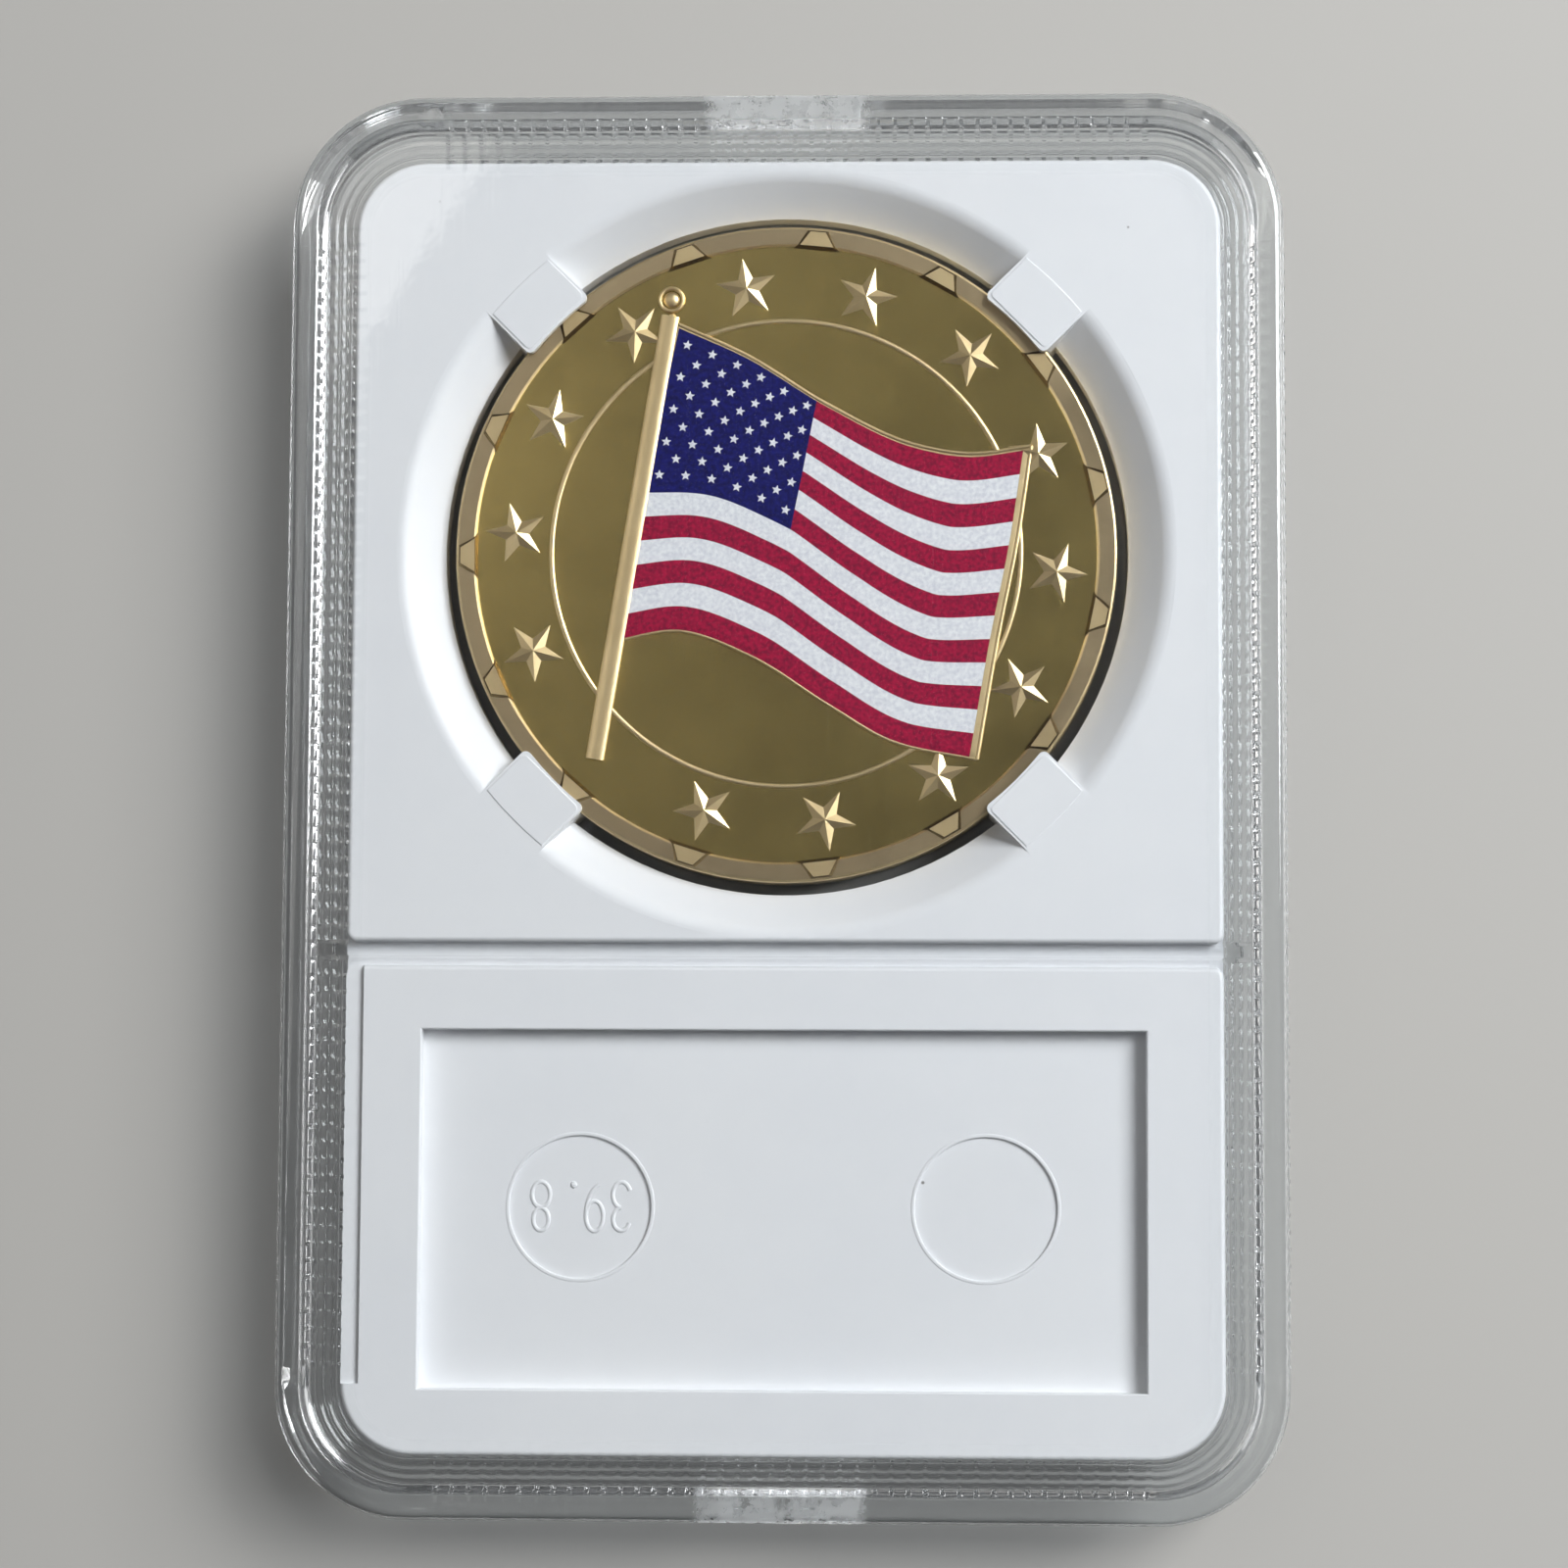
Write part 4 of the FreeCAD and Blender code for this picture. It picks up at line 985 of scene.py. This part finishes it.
def ink(name, colour, fleck, mottling):
    """Printed ink with a fine dot grain, almost without gloss."""
    material, tree, shader = new_material(name)
    dots = use_group(tree, mottling, First=colour, Second=fleck, Cloud_size=0.8, Grain_size=4.2,
                     Grain_share=0.9)
    tree.links.new(dots["Colour"], shader.inputs["Base Color"])
    shader.inputs["Roughness"].default_value = 0.45
    shader.inputs["Specular IOR Level"].default_value = 0.12
    bump(tree, shader, dots["Height"], 0.08, 0.01)
    return material


def floor_material():
    """Pale plain table."""
    material, _, shader = new_material("pale_floor")
    shader.inputs["Base Color"].default_value = (0.48, 0.465, 0.438, 1)
    shader.inputs["Roughness"].default_value = 0.8
    return material


# ---------- stage

def area_light(name, place, size, power, colour):
    """Soft rectangular light turned towards the slab."""
    light = bpy.data.lights.new(name, "AREA")
    light.shape, light.energy, light.color = "RECTANGLE", power, colour
    light.size, light.size_y = size
    lamp = linked(name, light)
    lamp.location = place
    lamp.rotation_euler = (-lamp.location).to_track_quat("-Z", "Y").to_euler()
    return lamp


def make_stage():
    """Pale floor, a soft window-like light from the upper right, a dim room, and the camera above.

    Two long cards low at the sides show only in reflections.
    """
    floor = mesh_object("floor", [(-900, -900, 0), (900, -900, 0), (900, 900, 0), (-900, 900, 0)],
                        [(0, 1, 2, 3)])
    floor.location.z = -0.00002
    floor.data.materials.append(floor_material())
    area_light("window_light", (0.38, 0.21, 0.43), (0.3, 0.3), 4.8, (0.95, 0.975, 1.0))
    area_light("bright_wall", (0.5, 0.85, 0.75), (1.3, 0.7), 0.9, (1.0, 0.98, 0.94))
    for name, place, power in (
            ("left_card", (-0.85, -0.1, 0.26), 3.6), ("right_card", (0.9, 0.0, 0.26), 4.6)):
        card = area_light(name, place, (1.4, 0.32), power, (1.0, 1.0, 1.0))
        card.visible_diffuse = False
    area_light("ceiling", (-0.47, 0.3, 0.95), (0.45, 0.6), 1.0, (1.0, 0.97, 0.93))
    world = bpy.data.worlds.new("room")
    bpy.context.scene.world = world
    world.use_nodes = True
    background = world.node_tree.nodes["Background"].inputs
    background["Color"].default_value = (0.95, 0.97, 1.0, 1)
    background["Strength"].default_value = 0.07
    lens = bpy.data.cameras.new("camera")
    lens.lens, lens.sensor_width = 90.2, 36.0
    lens.clip_start, lens.clip_end = 0.01, 10.0
    camera = linked("camera", lens)
    camera.location = (0.01014, -0.0203, 0.24)
    camera.rotation_euler = (0.0911, 0.043, 0.0052)
    bpy.context.scene.camera = camera
    bpy.context.scene.view_settings.view_transform = "Standard"
    cycles = bpy.context.scene.cycles
    cycles.max_bounces = cycles.transmission_bounces = cycles.glossy_bounces = 14
    cycles.transparent_max_bounces = 32


def main():
    """Materials, the pieces with what they ride on and replace, and the stage."""
    mottling, scuffs = mottling_group(), scuff_group()
    clear_rear = clear_plastic("clear_rear_plastic", scuffs, mottling, (0.97, 0.98, 0.98, 1))
    clear_front = clear_plastic("clear_front_plastic", scuffs, mottling, (0.98, 0.985, 0.985, 1))
    wall = clear_plastic("clear_wall_plastic", scuffs, mottling, (0.97, 0.98, 0.98, 1), 0.97)
    white = white_plastic(mottling, scuffs)
    proof, dark, dull, frosted = (
        brass(name, (*light, 1), (*shade, 1), rough, mottling, scuffs, strength)
        for name, light, shade, rough, strength in (
            ("proof_brass", (0.76, 0.59, 0.22), (0.47, 0.36, 0.13), (0.19, 0.22), 0.012),
            # Dark brass that paints shade on the sides of the rim's trapezoids.
            ("shaded_brass", (0.2, 0.14, 0.06), (0.12, 0.08, 0.035), (0.15, 0.3), 0.1),
            ("dull_brass", (0.44, 0.345, 0.21), (0.33, 0.255, 0.15), (0.28, 0.38), 0.012),
            ("frosted_brass", (0.62, 0.49, 0.28), (0.48, 0.37, 0.2), (0.33, 0.37), 0.012)))
    red, pale, blue = (ink(name, (*colour, 1), (*fleck, 1), mottling) for name, colour, fleck in (
        ("red_ink", (0.44, 0.006, 0.05), (0.17, 0.004, 0.03)),
        ("white_ink", (0.9, 0.91, 0.92), (0.68, 0.69, 0.74)),
        ("blue_ink", (0.001, 0.001, 0.05), (0.006, 0.007, 0.14))))

    rear, front = make_rear_shell(clear_rear, wall), make_front_shell(clear_front, wall)
    insert = make_insert(white)
    number = make_size_number(white, (-MARK_X, MARK_Y), MARK_FLOOR)
    coin = make_coin(proof, frosted, dull, dark)
    flag = make_flag_print(red, pale, blue, pale)
    for piece, body, slot, node in (
            (rear, "rear", "clear_rear", "rear_shell"), (front, "front", "clear_front", "front_shell"),
            (insert, "core", "white_insert", "insert"), (number, "core", "white_insert", None),
            (coin, "coin", "coin_brass", "coin"), (flag, "coin", None, None)):
        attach(piece, body)
        if node:
            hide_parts(node)
    make_stage()


main()
